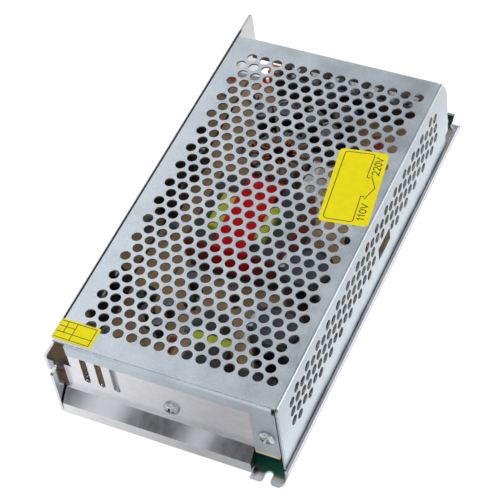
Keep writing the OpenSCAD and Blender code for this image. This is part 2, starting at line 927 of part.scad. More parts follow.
module rectifiers() color("black") {
  for (y = [rect_y1, rect_y2])
    difference() {
      union() {
        box_between([inner_left + pad_gap, y - rect_wide / 2, rect_low],
          [inner_left + pad_gap + rect_thick, y + rect_wide / 2, rect_high]);
        for (k = [-1:1])
          box_between([inner_left + 1.8, y + k * rect_lead - 0.6, board_top],
            [inner_left + 2.4, y + k * rect_lead + 0.6, rect_low]);
      }
      translate([inner_left - 1, y, rect_screw_z])
        rotate([0, 90, 0])
          cylinder(h = rect_thick + 3, r = screw_pass);
    }
}

module rectifier_screws() color("whitesmoke") {
  for (y = [rect_y1, rect_y2])
    translate([inner_left + pad_gap + rect_thick, y, rect_screw_z])
      rotate([0, 90, 0])
        pan_screw(2.8, 1.9, tap_r - 0.05, rect_thick + pad_gap + 1);
}

module switch_transistors() color("black") {
  for (y = [switch_y1, switch_y2])
    difference() {
      union() {
        box_between([inner_left + pad_gap, y - switch_wide / 2, switch_low],
          [inner_left + pad_gap + switch_thick, y + switch_wide / 2,
          switch_body]);
        box_between([inner_left + pad_gap, y - switch_wide / 2, switch_low],
          [inner_left + pad_gap + switch_tab, y + switch_wide / 2,
          switch_high]);
        for (k = [-1:1])
          box_between([inner_left + 2, y + k * switch_lead - 0.4, board_top],
            [inner_left + 2.6, y + k * switch_lead + 0.4, switch_low]);
      }
      translate([inner_left - 1, y, switch_screw_z])
        rotate([0, 90, 0])
          cylinder(h = switch_thick + 3, r = screw_pass);
    }
}

module transistor_screws() color("whitesmoke") {
  for (y = [switch_y1, switch_y2])
    translate([inner_left + pad_gap + switch_tab, y, switch_screw_z])
      rotate([0, 90, 0])
        pan_screw(2.8, 1.9, tap_r - 0.05, switch_tab + pad_gap + 1);
}

module heat_plate() color("gray")
  difference() {
    box_between([wall_screw_x - 27.1, wall_back + 0.1, plate_low],
      [wall_screw_x + 12.9, wall_back + 0.1 + plate_gauge, plate_high]);
    translate([wall_screw_x, wall_back + 3, wall_screw_z])
      rotate([90, 0, 0])
        cylinder(h = 6, r = wall_screw_r + 0.2);
  }

module bridge_rectifier() color("black")
  difference() {
    union() {
      box_between([wall_screw_x - bridge_wide / 2,
        wall_back + 0.1 + plate_gauge, bridge_low],
        [wall_screw_x + bridge_wide / 2,
        wall_back + 0.1 + plate_gauge + bridge_thick, bridge_high]);
      for (k = [-1.5:1:1.5])
        box_between([wall_screw_x + k * 5 - 0.5, wall_back + 2.4,
          board_top], [wall_screw_x + k * 5 + 0.5, wall_back + 3.2,
          bridge_low]);
    }
    translate([wall_screw_x, wall_back + bridge_thick + 4, wall_screw_z])
      rotate([90, 0, 0])
        cylinder(h = bridge_thick + 6, r = wall_screw_r + 0.2);
  }

// ---- small parts -----------------------------------------------------------

chip_long = 19.4;
chip_wide = 6.4;
chip_high = 3.4;
chip_pitch = 2.54;
chip_at = [across(0.1925), along(0.1155)];

module control_chip() color("black") {
  box_between([chip_at[0] - chip_long / 2, chip_at[1] - chip_wide / 2,
    board_top + 0.6], [chip_at[0] + chip_long / 2,
    chip_at[1] + chip_wide / 2, board_top + 0.6 + chip_high]);
  for (i = [-3.5:1:3.5])
    for (s = [-1, 1])
      box_between([chip_at[0] + i * chip_pitch - 0.3,
        chip_at[1] + s * (chip_wide / 2 + 0.4) - 0.2, board_top],
        [chip_at[0] + i * chip_pitch + 0.3,
        chip_at[1] + s * (chip_wide / 2 + 0.4) + 0.2, board_top + 2.4]);
}

// Bodies and wires of the parts that lie or stand on thin leads
res_r = 1.5;
res_long = 7;
slim_r = 1.2;
slim_long = 6;
power_r = 1.8;
power_long = 9;
lead_r = 0.28;
lead_out = 1.3;
ntc_r = 5;
ntc_thick = 3;
ntc_at = [across(0.6674), along(0.7931)];
fuse_r = 2.5;
fuse_long = 20;
fuse_lift = 4.6;
fuse_x = board_right - 6.6;
fuse_y = along(0.8004);
clip_long = 5;
clip_wide = 6.4;
link_r = 0.35;

// One resistor lying along Y with its leads bent down to the board
module resistor(x, y, r, long) {
  translate([x, y - long / 2, board_top + r + 0.3])
    rotate([-90, 0, 0]) {
      cylinder(h = long, r = r);
      translate([0, 0, -lead_out])
        cylinder(h = long + 2 * lead_out, r = lead_r);
    }
  for (s = [-1, 1])
    translate([x, y + s * (long / 2 + lead_out), board_top])
      cylinder(h = r + 0.66, r = lead_r + 0.06);
}

module resistors() color("skyblue") {
  resistor(across(0.3241), along(0.1623), res_r, res_long);
  resistor(across(0.3626), along(0.2227), res_r, res_long);
  resistor(across(0.0289), along(0.1334), res_r, res_long);
  resistor(across(0.0439), along(0.4485), res_r, res_long);
  resistor(across(0.1422), along(0.8319), slim_r, slim_long);
  resistor(across(0.1422), along(0.7269), slim_r, slim_long);
  resistor(across(0.6064), along(0.2962), power_r, power_long);
  resistor(across(0.9059), along(0.4643), res_r, res_long);
  resistor(across(0.7305), along(0.7164), res_r, res_long);
}

module thermistor() color("black") {
  translate([ntc_at[0] - ntc_thick / 2, ntc_at[1], board_top + ntc_r + 2])
    rotate([0, 90, 0])
      cylinder(h = ntc_thick, r = ntc_r);
  for (s = [-1, 1])
    box_between([ntc_at[0] - 0.4, ntc_at[1] + s * 2.8 - 0.4, board_top],
      [ntc_at[0] + 0.4, ntc_at[1] + s * 2.8 + 0.4, board_top + 4]);
}

module fuse_tube() color("whitesmoke")
  translate([fuse_x, fuse_y - fuse_long / 2, board_top + fuse_lift])
    rotate([-90, 0, 0])
      cylinder(h = fuse_long, r = fuse_r);

// Four-sided spring clip holding one end of the fuse
module clip(y) {
  difference() {
    box_between([fuse_x - clip_wide / 2, y, board_top],
      [fuse_x + clip_wide / 2, y + clip_long, board_top + fuse_lift + 1]);
    translate([fuse_x, y - 1, board_top + fuse_lift])
      rotate([-90, 0, 0])
        cylinder(h = clip_long + 2, r = fuse_r + 0.05);
    box_between([fuse_x - 1.7, y - 1, board_top + fuse_lift],
      [fuse_x + 1.7, y + clip_long + 1, board_top + fuse_lift + 2.4]);
    box_between([fuse_x - 2.4, y - 1, board_top + 0.6],
      [fuse_x + 2.4, y + clip_long + 1, board_top + 2]);
  }
}

module fuse_clips() color("lightgray") {
  clip(fuse_y - fuse_long / 2);
  clip(fuse_y + fuse_long / 2 - clip_long);
}

// One bare wire link lying just above the board
module link(x, y, long) {
  translate([x, y, board_top + 0.5])
    rotate([-90, 0, 0])
      cylinder(h = long, r = link_r);
  translate([x, y, board_top])
    cylinder(h = 0.85, r = link_r);
  translate([x, y + long, board_top])
    cylinder(h = 0.85, r = link_r);
}

module jumper_wires() color("lightgray") {
  link(across(0.1636), along(0.3382), 12);
  link(across(0.1957), along(0.5588), 9);
  link(across(0.1102), along(0.7479), 10);
  link(across(0.7519), along(0.6429), 9);
  link(across(0.6877), along(0.2962), 8);
}

chassis();
mesh_cover();
flap_screw();
wall_screw();
voltage_label();
date_label();
board();
board_spacers();
board_screws();
terminal_block();
terminal_plates();
terminal_screws();
trimmer_body();
trimmer_rotor();
status_led();
selector_body();
selector_slider();
transformer_core();
transformer_base();
transformer_winding();
transformer_band();
transformer_strap();
toroid_core();
toroid_winding();
bulk_sleeves();
bulk_tops();
output_sleeves();
output_tops();
small_sleeves();
small_tops();
line_choke();
choke_tape();
line_capacitor();
disc_capacitors();
film_capacitors();
snubber_capacitor();
rectifiers();
rectifier_screws();
switch_transistors();
transistor_screws();
bridge_rectifier();
heat_plate();
driver_transformer();
control_chip();
resistors();
thermistor();
fuse_tube();
fuse_clips();
jumper_wires();
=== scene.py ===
import bpy
import bmesh
import math
from mathutils import Matrix, Vector


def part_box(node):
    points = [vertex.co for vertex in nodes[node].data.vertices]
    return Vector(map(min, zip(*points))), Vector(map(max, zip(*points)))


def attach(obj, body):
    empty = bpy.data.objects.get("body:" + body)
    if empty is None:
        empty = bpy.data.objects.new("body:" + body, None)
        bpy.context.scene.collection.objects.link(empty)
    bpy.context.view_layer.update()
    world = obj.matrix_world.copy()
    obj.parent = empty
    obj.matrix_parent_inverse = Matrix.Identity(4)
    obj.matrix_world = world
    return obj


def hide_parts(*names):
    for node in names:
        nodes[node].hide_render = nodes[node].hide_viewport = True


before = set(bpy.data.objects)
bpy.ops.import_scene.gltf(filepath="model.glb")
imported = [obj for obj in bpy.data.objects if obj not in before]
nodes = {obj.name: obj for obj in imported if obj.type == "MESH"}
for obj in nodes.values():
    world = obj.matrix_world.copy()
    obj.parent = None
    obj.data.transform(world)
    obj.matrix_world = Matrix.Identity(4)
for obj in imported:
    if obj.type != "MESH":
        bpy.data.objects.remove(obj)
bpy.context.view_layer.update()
MM = 0.001
QUARTER = math.pi / 2

# ---- camera ----------------------------------------------------
# A long lens above the right of the stepped end, so that the whole case
# stands corner to corner in the square frame.


def placed(name, data):
    """A new object with the given data, linked to the scene."""
    thing = bpy.data.objects.new(name, data)
    bpy.context.scene.collection.objects.link(thing)
    return thing


lens = bpy.data.cameras.new("camera")
lens.sensor_width = 36
lens.lens = 127.85
lens.clip_start = 0.01
camera = placed("camera", lens)
camera.matrix_world = Matrix((
    (0.9079, -0.2557, 0.3322, 0.24350),
    (0.4062, 0.7326, -0.5462, -0.41435),
    (-0.1037, 0.6308, 0.7690, 0.58978),
    (0, 0, 0, 1)))
bpy.context.scene.camera = camera

# ---- floor and lamps -------------------------------------------
# A pale table top that runs out of view, white all round, one broad lamp at
# the back left and two weaker ones right and in front. Grey cards that only
# bare metal mirrors stand in for a darker ceiling.
bpy.context.scene.view_settings.view_transform = "Standard"


def fill(node, entries):
    """Links a socket to, or stores a plain value in, each given entry of a node."""
    for key, value in dict(entries).items():
        if isinstance(value, bpy.types.NodeSocket):
            node.id_data.links.new(value, node.inputs[key])
        else:
            node.inputs[key].default_value = value


def put(tree, kind, entries=(), **choices):
    """Adds a shader node with its menu choices, and fills its entries."""
    node = tree.nodes.new("ShaderNode" + kind)
    for key, value in choices.items():
        setattr(node, key, value)
    fill(node, entries)
    return node


def any_of(tree, outputs):
    """1 where any of the given 0 to 1 outputs is 1."""
    total = outputs[0]
    for output in outputs[1:]:
        total = put(tree, "Math", {0: total, 1: output}, operation="MAXIMUM").outputs[0]
    return total


def between(tree, amount, low, high, spread=(0.35, 0.65)):
    """Turns a 0 to 1 grain into a number from low to high."""
    return put(tree, "MapRange", {
        "Value": amount, "From Min": spread[0], "From Max": spread[1],
        "To Min": low, "To Max": high}).outputs["Result"]


def times(tree, first, second):
    """The product of two numbers, each a socket or a plain value."""
    return put(tree, "Math", {0: first, 1: second}, operation="MULTIPLY").outputs[0]


def own_place(tree, axis):
    """The piece's own x, y or z, in metres."""
    place = put(tree, "TexCoord").outputs["Object"]
    return put(tree, "SeparateXYZ", {0: place}).outputs["XYZ".index(axis)]


def region(tree, axis, low, high, soft=0.04 * MM):
    """1 where the piece's own x, y or z is from low to high, in metres, else 0."""
    value = own_place(tree, axis)
    return times(tree, between(tree, value, 0, 1, (low - soft, low + soft)),
                 between(tree, value, 1, 0, (high - soft, high + soft)))


def skin_of(mat):
    """The shader that a new material comes with."""
    return mat.node_tree.nodes["Principled BSDF"]


WHITE = (1, 1, 1, 1)
sky = bpy.data.worlds.new("white surround")
bpy.context.scene.world = sky
sky.use_nodes = True
sky_tree = sky.node_tree
sky_tree.nodes.clear()
rays = put(sky_tree, "LightPath").outputs
seen_sky = any_of(sky_tree, [rays["Is Camera Ray"], rays["Is Glossy Ray"],
                             rays["Is Transmission Ray"]])
soft_sky, white_sky = (put(sky_tree, "Background", {"Color": WHITE, "Strength": glow})
                       for glow in (0.85, 1.0))
which_sky = put(sky_tree, "MixShader", {
    0: seen_sky, 1: soft_sky.outputs[0], 2: white_sky.outputs[0]})
put(sky_tree, "OutputWorld", {"Surface": which_sky.outputs[0]})

case_side = 0.05  # the x of the perforated side, in metres
seen_share = 0.85  # how much of the glow shows; the rest is the lit table
table_paint = bpy.data.materials.new("white table")
table_paint.use_nodes = True
table_paint.cycles.emission_sampling = "NONE"
table_tree = table_paint.node_tree
fill(skin_of(table_paint), {"Base Color": (0.86, 0.86, 0.86, 1), "Roughness": 0.9,
                            "Specular IOR Level": 0.1})
table_glow = put(table_tree, "Emission", {"Color": WHITE, "Strength": 1.1})
rays = put(table_tree, "LightPath").outputs
table_seen = put(table_tree, "MixShader", {
    0: times(table_tree, rays["Is Camera Ray"], seen_share),
    1: skin_of(table_paint).outputs[0], 2: table_glow.outputs[0]})
# What bare metal mirrors of the table is painted light and shade, for glossy rays only:
# it glows brighter beside the case and duller in front of it.
table_x = own_place(table_tree, "X")
mirrored_front_shade = between(table_tree, table_x, 1.1, 0.52, (-0.05, 0.012))
table_reach = 6.0
beside = times(table_tree, region(table_tree, "X", case_side, table_reach, 1.5 * MM),
               between(table_tree, table_x, 1.8, 0.95, (case_side, 0.064)))
painted_table_reflection = put(table_tree, "Emission", {
    "Strength": any_of(table_tree, [mirrored_front_shade, beside])})
table_mix = put(table_tree, "MixShader", {
    0: times(table_tree, rays["Is Glossy Ray"], seen_share),
    1: table_seen.outputs[0], 2: painted_table_reflection.outputs[0]})
fill(table_tree.nodes["Material Output"], {"Surface": table_mix.outputs[0]})
table_mesh = bpy.data.meshes.new("table_top")
table_mesh.from_pydata([(x * table_reach, y * table_reach, 0)
                        for x, y in ((-1, -1), (1, -1), (1, 1), (-1, 1))],
                       [], [(0, 1, 2, 3)])
table_mesh.materials.append(table_paint)
placed("table_top", table_mesh)


def hang_lamp(name, place, aim, size, power):
    """One square soft box at place, turned towards aim."""
    light = bpy.data.lights.new(name, "AREA")
    light.size = size
    light.energy = power
    turn = (Vector(aim) - Vector(place)).to_track_quat("-Z", "Y")
    placed(name, light).matrix_world = (Matrix.Translation(place)
                                        @ turn.to_matrix().to_4x4())


hang_lamp("back_left_lamp", (-0.75, 0.55, 0.95), (-0.02, -0.02, 0.03),
          size=0.7, power=2.2)
hang_lamp("right_lamp", (0.95, 0.35, 0.35), (0.04, 0, 0.02), size=0.5, power=2)
hang_lamp("front_lamp", (0.15, -1.2, 0.6), (0, 0, 0.02), size=0.6, power=1.5)


def hold_card(name, corners, grey):
    """A matt grey card beside the set that only bare metal mirrors."""
    sheet = bpy.data.meshes.new(name)
    sheet.from_pydata(corners, [], [(0, 1, 2, 3)])
    paint = bpy.data.materials.new(name + " paint")
    paint.use_nodes = True
    tree = paint.node_tree
    tree.nodes.remove(skin_of(paint))
    glow = put(tree, "Emission", {"Color": (grey, grey * 1.03, grey * 1.06, 1)})
    fill(tree.nodes["Material Output"], {"Surface": glow.outputs[0]})
    sheet.materials.append(paint)
    card = placed(name, sheet)
    for ray in ("camera", "diffuse", "shadow", "transmission", "volume_scatter"):
        setattr(card, "visible_" + ray, False)


def card_across(name, point, toward, distance, wide, high, grey):
    """A card square to the ray from point along toward, at that distance."""
    ray = Vector(toward).normalized()
    middle = Vector(point) + ray * distance
    side = ray.cross(Vector((0, 0, 1))).normalized() * wide / 2
    up = side.cross(ray).normalized() * high / 2
    hold_card(name, [middle - side - up, middle + side - up,
                     middle + side + up, middle - side + up], grey)


hold_card("overhead_card", [(-0.5, 0.2, 0.84), (0.8, -0.5, 0.84),
                            (0.8, 2.2, 0.84), (-0.5, 2.2, 0.84)], grey=0.33)
hold_card("front_card", [(-1.2, -0.75, 0.1), (0.6, -0.75, 0.1),
                         (0.6, -0.6, 0.9), (-1.2, -0.6, 0.9)], grey=0.84)
slope_square = Vector((0, -0.671, 0.741))  # what the sloping step faces
for number, (x, wide, grey) in enumerate(((-0.0059, 0.03, 0.06), (0.0322, 0.032, 0.02),
                                          (-0.0465, 0.014, 0.0))):
    spot = Vector((x, -0.0948, 0.0092))
    seen = (camera.matrix_world.translation - spot).normalized()
    mirrored = 2 * seen.dot(slope_square) * slope_square - seen
    card_across("slope_card_%d" % (number + 1), spot, mirrored, distance=0.12,
                wide=wide, high=0.03, grey=grey)

# ---- chassis ---------------------------------------------------
# One sheet of mill-finish aluminium, 1.2 mm thick, sheared, punched and bent
# into the floor, the long side wall and the stepped end wall.
COLOUR_A, COLOUR_B, COLOUR_OUT = 6, 7, 2  # a colour mix node's own sockets


def tone(red, green, blue):
    """A paint-chart colour, 0 to 255 each, as the shader's linear values."""
    return tuple((c / 255 / 12.92) if c < 10.3 else ((c / 255 + 0.055) / 1.055) ** 2.4
                 for c in (red, green, blue)) + (1,)


def grain_of(tree, per_metre, detail=3.0, rough=0.55):
    """Noise on the piece's own coordinates: how many grains a metre holds, the
    same along all three axes or given for each."""
    scale = (per_metre,) * 3 if isinstance(per_metre, int) else per_metre
    stretched = put(tree, "Mapping", {
        "Vector": put(tree, "TexCoord").outputs["Object"], "Scale": scale})
    return put(tree, "TexNoise", {
        "Vector": stretched.outputs["Vector"], "Scale": 1.0, "Detail": detail,
        "Roughness": rough}).outputs["Fac"]


def blend_tones(tree, amount, first, second):
    """The first colour where amount is 0, the second where it is 1. Each is a
    socket, a paint-chart colour of three numbers or a linear one of four."""
    first, second = (tone(*value) if isinstance(value, tuple) and len(value) == 3
                     else value for value in (first, second))
    return put(tree, "Mix", {"Factor": amount, COLOUR_A: first, COLOUR_B: second},
               data_type="RGBA").outputs[COLOUR_OUT]


def make_finish(name, dark, light, per_metre, rough, metal=0.0, dents=0.0,
                dent_grain=None, spread=(0.35, 0.65), dent_depth=0.2 * MM):
    """A finish in two close tones, with uneven gloss and small dents."""
    mat = bpy.data.materials.new(name)
    mat.use_nodes = True
    tree, skin = mat.node_tree, skin_of(mat)
    grain = grain_of(tree, per_metre)
    shade = between(tree, grain, 0, 1, spread)
    fill(skin, {"Metallic": metal, "Base Color": blend_tones(tree, shade, dark, light),
                "Roughness": between(tree, grain, rough[0], rough[1], spread)})
    if dents:
        bump = put(tree, "Bump", {"Strength": dents, "Distance": dent_depth,
                                  "Height": grain_of(tree, dent_grain or per_metre)})
        fill(skin, {"Normal": bump.outputs["Normal"]})
    return mat


def overlay(mat, mask, colour, metal=None):
    """Lays a second colour, and metal or not, over a finish where mask is 1."""
    tree, skin = mat.node_tree, skin_of(mat)
    under = skin.inputs["Base Color"].links[0].from_socket
    fill(skin, {"Base Color": blend_tones(tree, mask, under, colour)})
    if metal is not None:
        bare = skin.inputs["Metallic"].default_value
        fill(skin, {"Metallic": between(tree, mask, bare, metal, (0, 1))})


def speckle(mat, per_metre, colour, amount, spread, **noise):
    """Grains of a second colour over a finish, up to amount strong."""
    grain = grain_of(mat.node_tree, per_metre, **noise)
    overlay(mat, between(mat.node_tree, grain, 0, amount, spread), colour)


def zone(mat, axis, low, high, colour, metal=None, soft=0.04 * MM):
    """A second colour over a finish from low to high along one axis."""
    overlay(mat, region(mat.node_tree, axis, low, high, soft), colour, metal)


def dress(mat, *names):
    """Puts a finish on every slot of the CAD nodes."""
    for name in names:
        for slot in nodes[name].material_slots:
            slot.material = mat


aluminium = make_finish("mill aluminium", (217, 217, 222), (223, 223, 228),
                        (300, 24, 300), (0.155, 0.18), metal=1.0, dents=0.012,
                        dent_grain=(60, 20, 60))
speckle(aluminium, (2400, 60, 2400), (186, 186, 192), 0.35, (0.66, 0.74), detail=2.0)
# Painted shade: a dark line along the top of the long wall, where the cover's edge
# meets it.
chassis_low, chassis_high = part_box("chassis")
cover_low, cover_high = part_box("mesh_cover")
mill_tree = aluminium.node_tree
painted_gap_shade = times(mill_tree,
                region(mill_tree, "Z", chassis_high.z - 0.2 * MM,
                       chassis_high.z + 1 * MM),
                region(mill_tree, "X", chassis_low.x + 0.35 * MM,
                       chassis_low.x + 1.3 * MM, 0.1 * MM))
painted_gap_shade = times(mill_tree, painted_gap_shade,
                region(mill_tree, "Y", chassis_low.y, cover_high.y, 1 * MM))
# Lays the painted shade line on the wall's top edge.
overlay(aluminium, painted_gap_shade, (58, 58, 62))
dress(aluminium, "chassis")

# ---- perforated cover ------------------------------------------
# Galvanised steel sheet, punched with staggered round holes and bent round
# the far side and both ends; the deep flap at the corner takes the screw.
galvanised = make_finish("galvanised steel", (186, 195, 203), (202, 210, 217), 70,
                         (0.34, 0.46), metal=1.0, dents=0.3, dent_grain=1500)
speckle(galvanised, 2300, (158, 168, 178), 0.5, (0.5, 0.72), detail=2.0, rough=0.7)
speckle(galvanised, 1700, (222, 228, 234), 0.4, (0.56, 0.72), detail=1.0)
zinc_tree = galvanised.node_tree
# Painted shade: a thin dark line along the near fold, broken here and there.
fold_shade = region(zinc_tree, "Y", cover_low.y + 0.9 * MM, cover_low.y + 1.25 * MM,
                0.1 * MM)
fold_shade_breaks = between(zinc_tree, grain_of(zinc_tree, 900), 0, 0.7, (0.28, 0.5))
overlay(galvanised, times(zinc_tree, fold_shade, fold_shade_breaks), (112, 120, 128))
dress(galvanised, "mesh_cover")

# ---- screws ----------------------------------------------------
# Zinc-plated steel pan-head screws with cross recesses. One head is turned
# and punched, then set in rows on the sheet, the board and the terminals.
zinc = make_finish("zinc plate", (166, 170, 175), (198, 202, 206), 700, (0.1, 0.2),
                   metal=1.0, dents=0.15, dent_grain=900)


def new_piece(name, mesh, mat, body="supply", stands_for=()):
    """A finished piece at the origin, in one finish, riding on its body."""
    mesh.name = name
    mesh.materials.clear()
    mesh.materials.append(mat)
    mesh.polygons.foreach_set("material_index", [0] * len(mesh.polygons))
    piece = placed(name, mesh)
    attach(piece, body)
    if stands_for:
        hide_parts(*stands_for)
    return piece


def turned(bm, profile, sides, at=(0, 0, 0)):
    """A solid turned round the z axis from (radius, height) points, from its
    top pole to its bottom pole; returns the vertices of each circle."""
    rings = []
    for radius, height in profile:
        if radius == 0:
            rings.append([bm.verts.new((at[0], at[1], at[2] + height))])
        else:
            rings.append([bm.verts.new((
                at[0] + radius * math.cos(2 * math.pi * k / sides),
                at[1] + radius * math.sin(2 * math.pi * k / sides),
                at[2] + height)) for k in range(sides)])
    for upper, lower in zip(rings, rings[1:]):
        for k in range(sides):
            n = (k + 1) % sides
            if len(upper) == 1:
                bm.faces.new((upper[0], lower[k], lower[n]))
            elif len(lower) == 1:
                bm.faces.new((upper[k], lower[0], upper[n]))
            else:
                bm.faces.new((upper[k], lower[k], lower[n], upper[n]))
    return rings


def to_mesh(bm, smooth=None):
    """Closes a bmesh into a mesh; faces that meet under smooth degrees shade as one."""
    mesh = bpy.data.meshes.new("made")
    bm.normal_update()
    bm.to_mesh(mesh)
    bm.free()
    if smooth is not None:
        mesh.shade_smooth()
        mesh.set_sharp_from_angle(angle=math.radians(smooth))
    return mesh


def settled(thing):
    """The plain mesh that an object's modifiers make; the object itself goes."""
    bpy.context.view_layer.update()
    mesh = bpy.data.meshes.new_from_object(
        thing.evaluated_get(bpy.context.evaluated_depsgraph_get()))
    bpy.data.objects.remove(thing)
    return mesh


def recessed_screw(name, head_r, head_h, shank_r, shank_l, washer=None):
    """A template screw pointing down from z = 0, with a punched cross in its head.
    All in millimetres; a washer has a radius and a thickness."""
    sides, straight, chamfer = 32, 0.3, 0.12
    bm = bmesh.new()
    dome = [(head_r * math.sin(math.radians(a)),
             head_h * (straight + (1 - straight) * math.cos(math.radians(a))))
            for a in (18, 36, 52, 66, 78, 86)]
    profile = [(0, head_h)] + dome + [(head_r, head_h * 0.28), (head_r, chamfer),
                                      (head_r - chamfer, 0)]
    if washer:
        profile += [(washer[0], 0), (washer[0], -washer[1])]
    foot = -(washer[1] if washer else 0)
    profile += [(shank_r, foot), (shank_r, -shank_l), (0, -shank_l)]
    turned(bm, profile, sides)
    head = placed(name, to_mesh(bm))
    # The punch is a cross that widens upwards, out of the head.
    bm = bmesh.new()
    arm, half = head_r * 0.62, head_r * 0.15
    plus = [(arm, -half), (arm, half), (half, half), (half, arm), (-half, arm),
            (-half, half), (-arm, half), (-arm, -half), (-half, -half),
            (-half, -arm), (half, -arm), (half, -half)]
    deep = [bm.verts.new((x * 0.5, y * 0.5, head_h * 0.1)) for x, y in plus]
    wide = [bm.verts.new((x * 1.12, y * 1.12, head_h * 1.1)) for x, y in plus]
    bm.faces.new(list(reversed(deep)))
    bm.faces.new(wide)
    for k in range(len(plus)):
        n = (k + 1) % len(plus)
        bm.faces.new((deep[k], deep[n], wide[n], wide[k]))
    punch = placed(name + " punch", to_mesh(bm))
    cut = head.modifiers.new("cross", "BOOLEAN")
    cut.operation = "DIFFERENCE"
    cut.solver = "EXACT"
    cut.object = punch
    mesh = settled(head)
    bpy.data.objects.remove(punch)
    mesh.transform(Matrix.Scale(MM, 4))
    mesh.shade_smooth()
    mesh.set_sharp_from_angle(angle=math.radians(38))
    return mesh


def new_tree(name, inputs):
    """An empty geometry tree with (name, kind) inputs, and both its ends."""
    tree = bpy.data.node_groups.new(name, "GeometryNodeTree")
    tree.interface.new_socket(name="Geometry", in_out="INPUT",
                              socket_type="NodeSocketGeometry")
    for label, kind in inputs:
        tree.interface.new_socket(name=label, in_out="INPUT",
                                  socket_type="NodeSocket" + kind)
    tree.interface.new_socket(name="Geometry", in_out="OUTPUT",
                              socket_type="NodeSocketGeometry")
    return tree, tree.nodes.new("NodeGroupInput"), tree.nodes.new("NodeGroupOutput")


def chain(tree, *steps):
    """Links each (node, output) to the next (node, input), given flat in order."""
    for (source, output), (target, entry) in zip(steps[::2], steps[1::2]):
        tree.links.new(source.outputs[output], target.inputs[entry])


def grown(name, base, tree, values):
    """Runs a geometry tree on a mesh once and returns the plain mesh it makes."""
    seed_object = placed(name, base)
    maker = seed_object.modifiers.new(tree.name, "NODES")
    maker.node_group = tree
    for item in tree.interface.items_tree:
        if (item.item_type == "SOCKET" and item.in_out == "INPUT"
                and item.name in values):
            maker[item.identifier] = values[item.name]
    return settled(seed_object)


screw_tree, tree_in, tree_out = new_tree("screw row", [
    ("Screw", "Object"), ("Tilt", "Rotation"), ("Seed", "Int"), ("Finish", "Material")])
screw_info = screw_tree.nodes.new("GeometryNodeObjectInfo")
screw_set = screw_tree.nodes.new("GeometryNodeInstanceOnPoints")
screw_spin = screw_tree.nodes.new("GeometryNodeRotateInstances")
spin_pick = screw_tree.nodes.new("FunctionNodeRandomValue")
spin_pick.data_type = "FLOAT"
spin_pick.inputs[3].default_value = math.pi
spin_turn = screw_tree.nodes.new("FunctionNodeEulerToRotation")
spin_axes = screw_tree.nodes.new("ShaderNodeCombineXYZ")
screw_real = screw_tree.nodes.new("GeometryNodeRealizeInstances")
screw_finish = screw_tree.nodes.new("GeometryNodeSetMaterial")
chain(screw_tree,
      (tree_in, "Geometry"), (screw_set, "Points"),
      (tree_in, "Screw"), (screw_info, "Object"),
      (screw_info, "Geometry"), (screw_set, "Instance"),
      (tree_in, "Tilt"), (screw_set, "Rotation"),
      (tree_in, "Seed"), (spin_pick, "Seed"),
      (spin_pick, 1), (spin_axes, "Z"),
      (spin_axes, 0), (spin_turn, 0),
      (screw_set, "Instances"), (screw_spin, "Instances"),
      (spin_turn, 0), (screw_spin, "Rotation"),
      (screw_spin, 0), (screw_real, 0),
      (screw_real, 0), (screw_finish, "Geometry"),
      (tree_in, "Finish"), (screw_finish, "Material"),
      (screw_finish, 0), (tree_out, 0))


def set_screws(name, node, places, tilt, seed, head, washer=None, finish=zinc):
    """Replaces a node's screws: one at each place, its head towards the tilted z
    axis. head is the radius and height of the head, then of the shank, in mm."""
    pattern = name + " pattern"
    template = placed(pattern, recessed_screw(pattern, *head, washer=washer))
    points = bpy.data.meshes.new(name + " places")
    points.from_pydata(places, [], [])
    mesh = grown(name, points, screw_tree, {"Screw": template, "Tilt": tilt,
                                            "Seed": seed, "Finish": finish})
    bpy.data.objects.remove(template)
    return new_piece(name, mesh, finish, stands_for=(node,))


flap_low, flap_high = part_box("flap_screw")
flap_middle = (flap_low + flap_high) / 2
set_screws("flap_fixing", "flap_screw",
           [(flap_middle.x, cover_low.y, flap_middle.z)],
           (QUARTER, 0, 0), 3, (3.5, 2.3, 1.25, 4.2))
wall_low, wall_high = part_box("wall_screw")
wall_middle = (wall_low + wall_high) / 2
set_screws("wall_fixing", "wall_screw",
           [(wall_middle.x, wall_low.y + 2.2 * MM, wall_middle.z)],
           (QUARTER, 0, 0), 5, (3.4, 2.2, 1.4, 6.2))

# ---- voltage label ---------------------------------------------
# A yellow polyester sticker with rounded corners, printed in dark ink: one
# thin frame whose line runs out into the sign of a change-over switch, with
# the two supply voltages beside it.
label_low, label_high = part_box("voltage_label")
label_top = label_high.z
label_turn = math.radians(8.6)
ink_depth = 0.03 * MM
label_middle = ((label_low.x + label_high.x) / 2, (label_low.y + label_high.y) / 2)
sticker_yellow = make_finish("yellow sticker", (226, 212, 0), (231, 219, 4), 300,
                             (0.4, 0.5), dents=0.1, dent_grain=700)
fill(skin_of(sticker_yellow), {"Specular IOR Level": 0.12})
label_ink = make_finish("label ink", (40, 34, 12), (66, 57, 20), 2600, (0.5, 0.6),
                        spread=(0.4, 0.8))


def slab(bm, outline, low, high):
    """A flat plate with a closed outline, given counter-clockwise, in metres."""
    under = [bm.verts.new((x, y, low)) for x, y in outline]
    over = [bm.verts.new((x, y, high)) for x, y in outline]
    bm.faces.new(list(reversed(under)))
    bm.faces.new(over)
    for i in range(len(outline)):
        j = (i + 1) % len(outline)
        bm.faces.new((under[i], under[j], over[j], over[i]))


